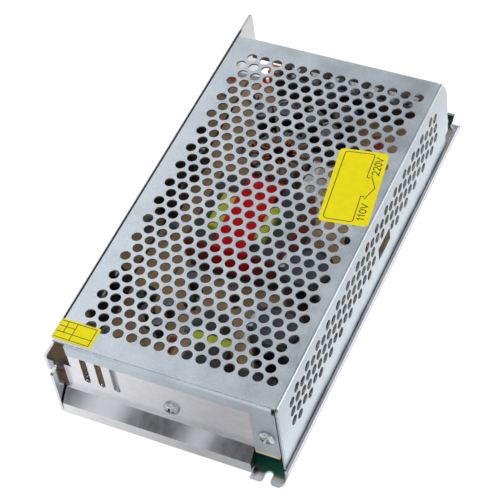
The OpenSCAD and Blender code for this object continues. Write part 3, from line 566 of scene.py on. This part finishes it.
def stroke(bm, points, width, low, high):
    """A printed line through the points, as joined thin slabs with mitred turns."""
    closed = points[0] == points[-1]
    longest_mitre = 2.5  # times half the width
    pts = [Vector(p) for p in (points[:-1] if closed else points)]
    left, right = [], []
    for i, here in enumerate(pts):
        before = pts[i - 1] if (i or closed) else None
        after = pts[(i + 1) % len(pts)] if (i + 1 < len(pts) or closed) else None
        into = (here - before).normalized() if before is not None else None
        out = (after - here).normalized() if after is not None else None
        along = ((into or out) + (out or into)).normalized()
        side = Vector((-along.y, along.x))
        square = Vector((-(out or into).y, (out or into).x))
        bend = max(1 / longest_mitre, side.dot(square))
        left.append(here + side * width / 2 / bend)
        right.append(here - side * width / 2 / bend)
    for i in range(len(pts) if closed else len(pts) - 1):
        j = (i + 1) % len(pts)
        slab(bm, [tuple(right[i]), tuple(right[j]), tuple(left[j]), tuple(left[i])],
             low, high)


def place_on_label(bm, middle, turn):
    """Moves a drawing made about its own middle, in millimetres, onto the case."""
    for v in bm.verts:
        x, y = v.co.x * MM, v.co.y * MM
        v.co.x = middle[0] + x * math.cos(turn) - y * math.sin(turn)
        v.co.y = middle[1] + x * math.sin(turn) + y * math.cos(turn)


bm = bmesh.new()
corner, half_wide, half_long, corner_steps = 2.0, 10.5, 20.1, 8
edge = []
for cx, cy, start in ((half_wide - corner, half_long - corner, 0),
                      (corner - half_wide, half_long - corner, 90),
                      (corner - half_wide, corner - half_long, 180),
                      (half_wide - corner, corner - half_long, 270)):
    for step in range(corner_steps + 1):
        angle = math.radians(start + step * 90 / corner_steps)
        edge.append((cx + corner * math.cos(angle), cy + corner * math.sin(angle)))
slab(bm, edge, label_low.z, label_top - ink_depth)
place_on_label(bm, label_middle, label_turn)
new_piece("voltage_sticker", to_mesh(bm), sticker_yellow,
          stands_for=("voltage_label",))

bm = bmesh.new()
ink_low, ink_high = label_top - ink_depth, label_top - 0.005 * MM
line_wide, letter_wide, grid_wide = 0.34, 0.42, 0.3
stroke(bm, [(5.6, 5.6), (4.1, 6.0), (4.1, 7.5), (4.7, 17.2), (4.6, 18.4), (3.6, 18.8),
            (-7.0, 18.7), (-7.8, 18.2), (-8.0, 13.0), (-8.7, -16.8), (-8.2, -18.0),
            (-6.9, -18.4), (2.6, -18.5), (3.6, -18.0), (3.7, -16.8), (3.9, -4.4),
            (5.5, -4.6)], line_wide, ink_low, ink_high)
stroke(bm, [(5.8, 7.0), (8.6, 0.7), (5.6, -5.9)], line_wide, ink_low, ink_high)

# Plain one-line characters on a unit square: across the letter, then up it.
strokes_of = {
    "0": [[(0.5, 1), (0.86, 0.86), (1, 0.5), (0.86, 0.14), (0.5, 0), (0.14, 0.14),
           (0, 0.5), (0.14, 0.86), (0.5, 1)]],
    "1": [[(0.05, 0.74), (0.62, 1), (0.62, 0)]],
    "2": [[(0.04, 0.76), (0.2, 0.95), (0.5, 1), (0.82, 0.93), (0.95, 0.74),
           (0.85, 0.52), (0.05, 0.03), (1, 0.03)]],
    "V": [[(0, 1), (0.5, 0), (1, 1)]],
}
for letter, top_x, base_x, start_y, end_y in (
        ("2", 5.6, 8.7, 7.6, 9.6), ("2", 5.6, 8.7, 10.2, 12.1),
        ("0", 5.6, 8.7, 12.7, 14.4), ("V", 5.6, 8.7, 14.8, 17.2),
        ("1", 5.1, 8.0, -17.2, -15.8), ("1", 5.1, 8.0, -15.3, -13.9),
        ("0", 5.1, 8.0, -13.3, -11.3), ("V", 5.1, 8.0, -10.8, -8.3)):
    for line in strokes_of[letter]:
        stroke(bm, [(base_x - v * (base_x - top_x), start_y + u * (end_y - start_y))
                    for u, v in line], letter_wide, ink_low, ink_high)
place_on_label(bm, label_middle, label_turn)
new_piece("voltage_print", to_mesh(bm), label_ink)

# ---- date label ------------------------------------------------
# A small yellow paper sticker over the near left corner, with a printed grid
# whose boxes are left empty.
date_low, date_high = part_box("date_label")
bm = bmesh.new()
slab(bm, [(date_low.x, date_low.y), (date_high.x, date_low.y),
          (date_high.x, date_high.y), (date_low.x, date_high.y)],
     date_low.z, date_high.z - ink_depth)
new_piece("date_sticker", to_mesh(bm), sticker_yellow,
          stands_for=("date_label",))
bm = bmesh.new()
for line in ([(-8.3, 4.1), (7.2, 4.1), (7.2, -4.2), (-8.3, -4.0)],
             [(-1.3, 4.1), (-1.3, -4.1)], [(-8.3, -1.2), (7.2, -1.4)],
             [(-5.3, 4.1), (-5.3, -1.2)], [(-8.3, 1.6), (-1.3, 1.5)]):
    stroke(bm, line, grid_wide, ink_low, ink_high)
place_on_label(bm, ((date_low.x + date_high.x) / 2, (date_low.y + date_high.y) / 2), 0)
new_piece("date_print", to_mesh(bm), label_ink)

# ---- circuit board ---------------------------------------------
# Single-sided phenolic laminate, sawn and punched, tan above with printed
# outlines round the parts and green solder lacquer below. It stands on four
# turned brass spacers and is held by four small screws.


same_point = 0.001 * MM


def lumps(node):
    """The low and high corners of each separate solid in a CAD node, left to right."""
    bm = bmesh.new()
    bm.from_mesh(nodes[node].data)
    bm.transform(nodes[node].matrix_world)
    bmesh.ops.remove_doubles(bm, verts=bm.verts, dist=same_point)
    unseen, found = set(bm.verts), []
    while unseen:
        reached, waiting = [], [unseen.pop()]
        while waiting:
            here = waiting.pop()
            reached.append(here.co.copy())
            for edge in here.link_edges:
                there = edge.other_vert(here)
                if there in unseen:
                    unseen.remove(there)
                    waiting.append(there)
        found.append(tuple(Vector(pick(co[k] for co in reached) for k in range(3))
                           for pick in (min, max)))
    bm.free()
    return sorted(found, key=lambda pair: tuple(pair[0]))


def soften(node, width, segments=2):
    """Rounds a CAD node's sharp edges a little, width in mm, with modifiers only."""
    weld = nodes[node].modifiers.new("join facets", "WELD")
    weld.merge_threshold = same_point
    ease = nodes[node].modifiers.new("eased edges", "BEVEL")
    ease.width = width * MM
    ease.segments = segments
    ease.limit_method = "ANGLE"
    ease.angle_limit = math.radians(50)


board_low, board_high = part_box("board")
laminate = make_finish("phenolic laminate", (212, 178, 134), (226, 194, 150),
                       (260, 260, 900), (0.5, 0.65), dents=0.1)
speckle(laminate, (900, 5200, 900), (190, 152, 108), 0.35, (0.5, 0.7), detail=2.0)
zone(laminate, "Z", board_low.z - 1 * MM, board_low.z + 0.3 * MM, (40, 150, 120))
dress(laminate, "board")
brass = make_finish("turned brass", (190, 150, 80), (205, 168, 96), (300, 300, 2600),
                    (0.25, 0.35), metal=1.0)
dress(brass, "board_spacers")

board_ink = make_finish("board print", (238, 234, 222), (246, 243, 234), 1500,
                        (0.5, 0.6))
bm = bmesh.new()
print_low, print_high = board_high.z, board_high.z + ink_depth
outline_wide, outline_gap = 0.25 * MM, 0.7 * MM
for group, gap in (("bulk_sleeves", 0.7), ("output_sleeves", 0.6),
                   ("small_sleeves", 0.5)):
    for low, high in lumps(group):
        middle, radius = (low + high) / 2, (high.x - low.x) / 2 + gap * MM
        stroke(bm, [(middle.x + radius * math.cos(math.radians(a)),
                     middle.y + radius * math.sin(math.radians(a)))
                    for a in range(0, 361, 15)], outline_wide, print_low, print_high)
for group in ("line_capacitor", "snubber_capacitor", "control_chip",
              "driver_transformer", "line_choke", "resistors"):
    for low, high in lumps(group):
        x0, x1 = low.x - outline_gap, high.x + outline_gap
        y0, y1 = low.y - outline_gap, high.y + outline_gap
        stroke(bm, [(x0, y0), (x1, y0), (x1, y1), (x0, y1), (x0, y0)],
               outline_wide, print_low, print_high)
new_piece("board_print", to_mesh(bm), board_ink)


def screw_group(name, node, axis, head_r, head_h, shank_r, seed, washer=None,
                finish=zinc):
    """Sets one real screw over each plain screw of a CAD node, heads towards +axis."""
    k = "XYZ".index(axis)
    places = []
    for low, high in lumps(node):
        seat = (low + high) / 2
        seat[k] = high[k] - head_h * MM
        places.append(tuple(seat))
        shank = (high[k] - low[k]) / MM - head_h
    tilt = (0, QUARTER, 0) if axis == "X" else (0, 0, 0)
    set_screws(name, node, places, tilt, seed, (head_r, head_h, shank_r, shank),
               washer, finish)


screw_group("board_fixings", "board_screws", "Z", head_r=2.7, head_h=1.8,
            shank_r=1.2, seed=11)

# ---- screw terminals -------------------------------------------
# A black moulded barrier strip whose ribs part seven pressed tinned plates,
# each under a zinc-plated screw with its own plain washer.
moulding = make_finish("black moulding", (30, 31, 33), (44, 45, 47), 500, (0.38, 0.5),
                       dents=0.2, dent_grain=2600, dent_depth=0.05 * MM)
dress(moulding, "terminal_block")
tin = make_finish("dull tin", (176, 174, 168), (200, 198, 192), 600, (0.32, 0.48),
                  metal=1.0, dents=0.2)
dress(tin, "terminal_plates")
# A rougher copy of the zinc plate whose darker tone is painted shade, for the terminal
# screws under the cover.
shaded_dull_zinc = make_finish("shaded dull zinc plate", (142, 143, 145), (172, 173, 175), 900,
                        (0.32, 0.42), metal=1.0, dents=0.2)
screw_group("terminal_fixings", "terminal_screws", "Z", head_r=2.9, head_h=1.8,
            shank_r=1.5, seed=23, washer=(3.6, 0.7), finish=shaded_dull_zinc)

# ---- voltage trimmer and lamp ----------------------------------
# A small moulded trimmer beside the terminals, its white rotor turned with a
# screwdriver, and a clear red 3 mm lamp on bent leads.
orange_moulding = make_finish("orange moulding", (208, 92, 28), (228, 112, 42), 600,
                              (0.28, 0.4), dents=0.1)
dress(orange_moulding, "trimmer_body")
soften("trimmer_body", 0.25)
rotor_white = make_finish("white moulding", (222, 219, 210), (238, 235, 228), 700,
                          (0.3, 0.42), dents=0.1)
dress(rotor_white, "trimmer_rotor")
red_lens = make_finish("clear red resin", (220, 16, 14), (240, 30, 22), 500,
                       (0.06, 0.12))
fill(skin_of(red_lens), {"Transmission Weight": 0.35, "Emission Strength": 0.12,
                         "Emission Color": tone(255, 30, 20)})
dress(red_lens, "status_led")

# ---- voltage selector ------------------------------------------
# A black slide switch behind the window in the perforated side, with a red
# ribbed knob that is pushed with a screwdriver tip.
dress(moulding, "selector_body")
knob_red = make_finish("red moulding", (186, 20, 16), (212, 32, 24), 600, (0.26, 0.38),
                       dents=0.1)
dress(knob_red, "selector_slider")
soften("selector_slider", 0.2)

# ---- main transformer ------------------------------------------
# Two ground ferrite halves held by a dark red band round the outside, on a
# black moulded bobbin wound with lime tape; a red strap of tape over the top.
ferrite = make_finish("fired ferrite", (50, 50, 54), (66, 66, 70), 900, (0.42, 0.6),
                      dents=0.4, dent_grain=2200, dent_depth=0.08 * MM)
speckle(ferrite, 1300, (96, 96, 98), 0.4, (0.62, 0.7), detail=1.0)
dress(ferrite, "transformer_core")
soften("transformer_core", 0.35)
dress(moulding, "transformer_base")


def wrapped_tape(name, dark, light, laps):
    """Shiny polyester tape: faint lap lines across one axis and shallow wrinkles."""
    mat = make_finish(name, dark, light, (260, 260, 700), (0.26, 0.42),
                      dents=0.45, dent_grain=(180, 180, 620), dent_depth=0.25 * MM)
    fill(skin_of(mat), {"Specular IOR Level": 0.3})
    shade = tuple(c * 0.55 for c in tone(*dark)[:3]) + (1,)
    speckle(mat, laps, shade, 0.4, (0.52, 0.64), detail=1.0)
    return mat


lime_tape = wrapped_tape("lime tape", (186, 200, 38), (206, 218, 62), (30, 30, 900))
dress(lime_tape, "transformer_winding")
soften("transformer_winding", 0.9, 3)
dress(wrapped_tape("dark red tape", (128, 34, 26), (150, 48, 34), (30, 30, 700)),
      "transformer_band")
strap_tape = wrapped_tape("red tape", (206, 4, 14), (226, 10, 24), (30, 500, 30))
fill(skin_of(strap_tape), {"Specular IOR Level": 0.1})
dress(strap_tape, "transformer_strap")

# ---- output choke ----------------------------------------------
# A teal epoxy-coated iron-powder ring wound by hand with twenty turns of
# stout enamelled copper wire; the turns lean a little, none quite alike.
ring_teal = make_finish("teal epoxy", (86, 140, 150), (104, 158, 166), 500,
                        (0.24, 0.36), dents=0.3, dent_grain=900)
dress(ring_teal, "toroid_core")
soften("toroid_core", 0.8, 3)
copper = make_finish("enamelled copper", (176, 84, 42), (206, 112, 62), 900,
                     (0.16, 0.28), metal=1.0)
wind_tree, wind_in, wind_out = new_tree("ring winding", [
    ("Turns", "Int"), ("Wide", "Float"), ("High", "Float"), ("Middle", "Vector"),
    ("Wire", "Float"), ("Lean", "Float"), ("Seed", "Int"), ("Finish", "Material")])
add = wind_tree.nodes.new
loop = add("GeometryNodeCurvePrimitiveQuadrilateral")
rounding = add("GeometryNodeFilletCurve")
rounding.mode = "POLY"
rounding.inputs["Count"].default_value = 4
rounding.inputs["Radius"].default_value = 1.4 * MM
stand = add("GeometryNodeTransform")
stand.inputs["Rotation"].default_value = (QUARTER, 0, 0)
section = add("GeometryNodeCurvePrimitiveCircle")
section.inputs["Resolution"].default_value = 10
tube = add("GeometryNodeCurveToMesh")
smooth = add("GeometryNodeSetShadeSmooth")
line = add("GeometryNodeMeshLine")
line.inputs["Offset"].default_value = (0, 0, 0)
ring = add("GeometryNodeInstanceOnPoints")
count = add("GeometryNodeInputIndex")
share = add("ShaderNodeMath")
share.operation = "DIVIDE"
turn = add("ShaderNodeMath")
turn.operation = "MULTIPLY_ADD"
turn.inputs[1].default_value = 2 * math.pi
lean = add("FunctionNodeRandomValue")
lean.data_type = "FLOAT"
lean_low = add("ShaderNodeMath")
lean_low.operation = "MULTIPLY"
lean_low.inputs[1].default_value = -1
axes = add("ShaderNodeCombineXYZ")
spin = add("FunctionNodeEulerToRotation")
real = add("GeometryNodeRealizeInstances")
paint = add("GeometryNodeSetMaterial")
chain(wind_tree,
      (wind_in, "Wide"), (loop, "Width"), (wind_in, "High"), (loop, "Height"),
      (loop, 0), (rounding, 0), (rounding, 0), (stand, "Geometry"),
      (wind_in, "Middle"), (stand, "Translation"),
      (wind_in, "Wire"), (section, "Radius"),
      (stand, 0), (tube, "Curve"), (section, 0), (tube, "Profile Curve"),
      (tube, 0), (smooth, 0), (smooth, 0), (ring, "Instance"),
      (wind_in, "Turns"), (line, "Count"), (line, 0), (ring, "Points"),
      (count, 0), (share, 0), (wind_in, "Turns"), (share, 1),
      (share, 0), (turn, 0),
      (wind_in, "Lean"), (lean, 3), (wind_in, "Lean"), (lean_low, 0),
      (lean_low, 0), (lean, 2), (wind_in, "Seed"), (lean, "Seed"),
      (lean, 1), (turn, 2), (turn, 0), (axes, "Z"), (axes, 0), (spin, 0),
      (spin, 0), (ring, "Rotation"), (ring, 0), (real, 0),
      (real, 0), (paint, "Geometry"), (wind_in, "Finish"), (paint, "Material"),
      (paint, 0), (wind_out, 0))
coil_low, coil_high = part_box("toroid_winding")
coil_middle = (coil_low + coil_high) / 2
wire_r, inner_run = 0.6 * MM, 5.25 * MM
outer_run = (coil_high.x - coil_low.x) / 2 - wire_r - 0.05 * MM
bm = bmesh.new()
bm.verts.new((0, 0, 0))
coil = grown("ring winding", to_mesh(bm), wind_tree, {
    "Turns": 20, "Wide": outer_run - inner_run,
    "High": coil_high.z - coil_low.z - 2 * wire_r,
    "Middle": ((outer_run + inner_run) / 2, 0, coil_middle.z), "Wire": wire_r,
    "Lean": 0.05, "Seed": 7, "Finish": copper})
coil.transform(Matrix.Translation((coil_middle.x, coil_middle.y, 0)))
new_piece("ring_winding", coil, copper,
          stands_for=("toroid_winding",))

# ---- electrolytic capacitors -----------------------------------
# Drawn aluminium cans in shrunk black sleeves: two large ones at the mains
# side, six output and seven small ones. A pale stripe marks the minus lead.
sleeve = make_finish("black shrink sleeve", (22, 23, 27), (34, 35, 40), (500, 500, 120),
                     (0.14, 0.26), dents=0.2, dent_grain=(160, 160, 60))
dress(sleeve, "bulk_sleeves", "output_sleeves", "small_sleeves")
bulk_can = make_finish("dull can", (82, 82, 90), (94, 94, 102), 600, (0.42, 0.55),
                       metal=0.6, dents=0.2)
dress(bulk_can, "bulk_tops")
small_can = make_finish("bright can", (118, 120, 126), (150, 152, 158), 800,
                        (0.3, 0.42), metal=0.9, dents=0.2)
dress(small_can, "output_tops", "small_tops")
stripe_and_glint_ink = make_finish("sleeve stripe and rim glint", (178, 186, 196), (206, 212, 220), 900,
                         (0.2, 0.32))


def stripe_and_rim_glint(bm, middle, radius, rim, low, high, toward, spread, gap):
    """A pale stripe printed up a can's side, broken by plain dashes, and a pale patch
    over its rim that is a painted highlight.
    """
    facets, dash_share, edge_gap, ink = 6, 0.78, 0.6 * MM, 0.02 * MM
    arc = [math.radians(toward + spread * (k / facets - 0.5))
           for k in range(facets + 1)]
    # The patch over the rim is a painted highlight, the glint of the sleeve's rim.
    slab(bm, [(middle.x + radius * math.cos(a), middle.y + radius * math.sin(a))
              for a in arc]
         + [(middle.x + rim * math.cos(a), middle.y + rim * math.sin(a))
            for a in reversed(arc)], high - ink / 2, high + ink)
    high -= edge_gap
    bands = max(2, round((high - low) / gap))
    for band in range(bands):
        z0 = low + (high - low) * band / bands
        z1 = low + (high - low) * (band + dash_share) / bands
        for step in range(facets):
            ends = [[(middle.x + r * math.cos(a), middle.y + r * math.sin(a))
                     for r in (radius - ink, radius + ink)]
                    for a in arc[step:step + 2]]
            slab(bm, [ends[0][0], ends[0][1], ends[1][1], ends[1][0]], z0, z1)


# Each sleeve gets its printed minus stripe and a painted highlight on its rim.
bm = bmesh.new()
for group, toward, spread, rim in (("bulk_sleeves", 180, 36, 2.0),
                                   ("output_sleeves", 120, 50, 0.7),
                                   ("small_sleeves", 240, 60, 0.5)):
    for low, high in lumps(group):
        radius = (high.x - low.x) / 2
        stripe_and_rim_glint(bm, (low + high) / 2, radius, radius - rim * MM, low.z + 1.5 * MM,
                    high.z, toward, spread, 5 * MM)
new_piece("sleeve_stripes", to_mesh(bm), stripe_and_glint_ink)

# ---- line filter and boxed capacitors --------------------------
# A line choke of dark ferrite under lime tape, a grey boxed line capacitor,
# red-brown dipped film capacitors, a white boxed one and a blue ceramic disc.
dress(ferrite, "line_choke")
soften("line_choke", 0.4)
dress(lime_tape, "choke_tape")
grey_box = make_finish("dark grey moulding", (52, 54, 58), (66, 68, 72), 500,
                       (0.35, 0.48), dents=0.15)
dress(grey_box, "line_capacitor")
soften("line_capacitor", 0.5)
dipped = make_finish("red-brown epoxy", (132, 42, 28), (156, 56, 38), 300, (0.16, 0.28),
                     dents=0.35, dent_grain=320, dent_depth=0.3 * MM)
# The two nearer the stepped end have a dark green coat.
zone(dipped, "Y", -0.1, 0, (30, 62, 48))
dress(dipped, "film_capacitors")
soften("film_capacitors", 1.4, 4)
white_box = make_finish("white moulding box", (212, 210, 204), (232, 230, 224), 500,
                        (0.35, 0.48), dents=0.12)
dress(white_box, "snubber_capacitor")
soften("snubber_capacitor", 0.5)

disc_low, disc_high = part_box("disc_capacitors")
disc_middle = (disc_low + disc_high) / 2
disc_r, disc_half = (disc_high.x - disc_low.x) / 2, (disc_high.y - disc_low.y) / 2
disc_z = disc_high.z - disc_r
bm = bmesh.new()
flat_end = 40  # degrees from the disc's axis at which its face starts to fall away
fall = 90 / (90 - flat_end)
bulge = [(disc_r * math.sin(math.radians(a)),
          disc_half * math.cos(math.radians(max(0, a - flat_end) * fall)))
         for a in (15, 30, 45, 58, 70, 80, 90)]
turned(bm, [(0, disc_half)] + bulge + [(r, -h) for r, h in bulge[-2::-1]]
       + [(0, -disc_half)], 32)
bm.transform(Matrix.Translation((disc_middle.x, disc_middle.y, disc_z))
             @ Matrix.Rotation(QUARTER, 4, "X"))
rim, leg_r, leg_gap = disc_z - disc_r, 0.28 * MM, 1.4 * MM
for side in (-0.5, 0.5):
    turned(bm, [(0, rim + 0.8 * MM), (0.75 * MM, rim + 0.8 * MM),
                (0.6 * MM, rim - 0.4 * MM), (leg_r, rim - 1.4 * MM),
                (leg_r, disc_low.z), (0, disc_low.z)], 12,
           (disc_middle.x + side * leg_gap, disc_middle.y, 0))
blue_dip = make_finish("blue epoxy", (34, 76, 160), (50, 96, 184), 300, (0.14, 0.24),
                       dents=0.2)
zone(blue_dip, "Z", disc_low.z - 1 * MM, rim - 1.3 * MM, (200, 200, 196), metal=1.0,
     soft=0.1 * MM)
new_piece("blue_disc", to_mesh(bm, 50), blue_dip,
          stands_for=("disc_capacitors",))

# ---- power semiconductors --------------------------------------
# Black moulded packages clamped to the long side wall and the end wall, which
# carry their heat away, each with tinned legs soldered in the board.
package = make_finish("epoxy package", (26, 26, 28), (38, 38, 41), 700, (0.4, 0.55),
                      dents=0.35, dent_grain=3000, dent_depth=0.04 * MM)
zone(package, "Z", board_high.z - 1 * MM, board_high.z + 2.4 * MM, (186, 186, 182),
     metal=1.0, soft=0.05 * MM)
dress(package, "rectifiers", "switch_transistors", "bridge_rectifier")
for name, node, seed in (("rectifier_fixings", "rectifier_screws", 31),
                         ("transistor_fixings", "transistor_screws", 37)):
    screw_group(name, node, "X", head_r=2.8, head_h=1.9, shank_r=1.25, seed=seed)
heat_sheet = make_finish("plain aluminium", (170, 171, 175), (190, 191, 195),
                         (60, 900, 900), (0.26, 0.38), metal=1.0, dents=0.1)
dress(heat_sheet, "heat_plate")

# ---- driver transformer and control chip -----------------------
# A small ferrite transformer and a sixteen-leg moulded chip, both pushed
# through the board and soldered below.
dress(ferrite, "driver_transformer")
chip_black = make_finish("chip moulding", (28, 28, 30), (40, 40, 42), 900, (0.45, 0.58),
                         dents=0.25, dent_grain=3000, dent_depth=0.04 * MM)
chip_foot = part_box("control_chip")[0].z
zone(chip_black, "Z", chip_foot - 1 * MM, chip_foot + 0.7 * MM, (196, 196, 192),
     metal=1.0, soft=0.05 * MM)
dress(chip_black, "control_chip")

# ---- resistors and thermistor ----------------------------------
# Lacquered film resistors: a ceramic rod swelling at both capped ends, with
# painted value rings and tinned leads bent into the board; a dark disc
# thermistor limits the inrush.
ring_tones = (tone(120, 60, 24), tone(24, 24, 26), tone(226, 120, 24),
              tone(196, 160, 60))
blue_coat, red_coat = tone(112, 156, 186), tone(196, 84, 60)
lead_tone = tone(196, 196, 192)
# Shares of the rod's radius and half length, from one end to its first ring.
rod_end = [(0, 1), (0.55, 1), (0.9, 0.94), (1, 0.82), (0.98, 0.66)]
first_ring, ring_step, ring_wide, last_gap, waist = 0.62, 0.3, 0.14, 0.16, 0.88


def lay_down(circles, place):
    """Turns circles made upright at the origin to lie along y from place."""
    lie = Matrix.Translation(place) @ Matrix.Rotation(-QUARTER, 4, "X")
    for circle in circles:
        for v in circle:
            v.co = lie @ v.co


bm = bmesh.new()
painted = bm.verts.layers.float_color.new("paint")
for low, high in lumps("resistors"):
    middle, long = (low + high) / 2, (high.y - low.y)
    radius, lead, inset = (high.x - low.x) / 2, 0.28 * MM, 0.34 * MM
    bend = 1.3 * MM + inset
    body = long / 2 - bend
    rod_z = high.z - radius
    body_tone = red_coat if -0.03 < middle.x < 0 and middle.y < -0.055 else blue_coat
    stations = [(radius * r, body * h, body_tone) for r, h in rod_end]
    for number, paint_tone in enumerate(ring_tones):
        start = body * (first_ring - number * ring_step
                        - (last_gap if number == 3 else 0))
        stop = start - body * ring_wide
        stations += [(radius * waist, height, shade) for height, shade in (
            (start, body_tone), (start, paint_tone), (stop, paint_tone),
            (stop, body_tone))]
    stations += [(radius * r, -body * h, body_tone) for r, h in reversed(rod_end)]
    rod = turned(bm, [(r, h) for r, h, _ in stations], 20)
    for (_, _, paint_tone), circle in zip(stations, rod):
        for v in circle:
            v[painted] = paint_tone
    lay_down(rod, (middle.x, middle.y, rod_z))
    for side in (-1, 1):
        post_y = middle.y + side * (long / 2 - inset)
        post = turned(bm, [(0, rod_z + lead), (lead, rod_z + lead), (lead, low.z),
                           (0, low.z)], 10, (middle.x, post_y, 0))
        run_out = bend + 0.2 * MM
        run = turned(bm, [(0, run_out), (lead, run_out), (lead, 0), (0, 0)], 10)
        lay_down(run, (middle.x, post_y - (0 if side < 0 else bend), rod_z))
        for circle in post + run:
            for v in circle:
                v[painted] = lead_tone
lacquer = make_finish("resistor lacquer", blue_coat, blue_coat, 700, (0.16, 0.28))
ring_paint = put(lacquer.node_tree, "Attribute", attribute_name="paint")
fill(skin_of(lacquer), {"Base Color": ring_paint.outputs["Color"]})
new_piece("film_resistors", to_mesh(bm, 50), lacquer,
          stands_for=("resistors",))
dark_disc = make_finish("thermistor lacquer", (26, 32, 30), (40, 48, 44), 500,
                        (0.3, 0.42), dents=0.2)
dress(dark_disc, "thermistor")
soften("thermistor", 0.6, 3)

# ---- fuse and jumper wires -------------------------------------
# A glass fuse with nickel end caps in two sprung tinned clips, and short
# tinned links that cross the single-sided board.
fuse_low, fuse_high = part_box("fuse_tube")
glass = make_finish("fuse glass", (214, 222, 220), (228, 234, 232), 400, (0.03, 0.06))
glass_tree, cap_long = glass.node_tree, 5 * MM
fill(skin_of(glass), {"Transmission Weight": 0.85})
metal_in = skin_of(glass).inputs["Metallic"]
for end_low, end_high in ((fuse_low.y - 1 * MM, fuse_low.y + cap_long),
                          (fuse_high.y - cap_long, fuse_high.y + 1 * MM)):
    zone(glass, "Y", end_low, end_high, (206, 204, 196))
    ends = [link.from_socket for link in metal_in.links]
    ends.append(region(glass_tree, "Y", end_low, end_high))
    fill(skin_of(glass), {"Metallic": any_of(glass_tree, ends)})
dress(glass, "fuse_tube")
dress(tin, "fuse_clips", "jumper_wires")
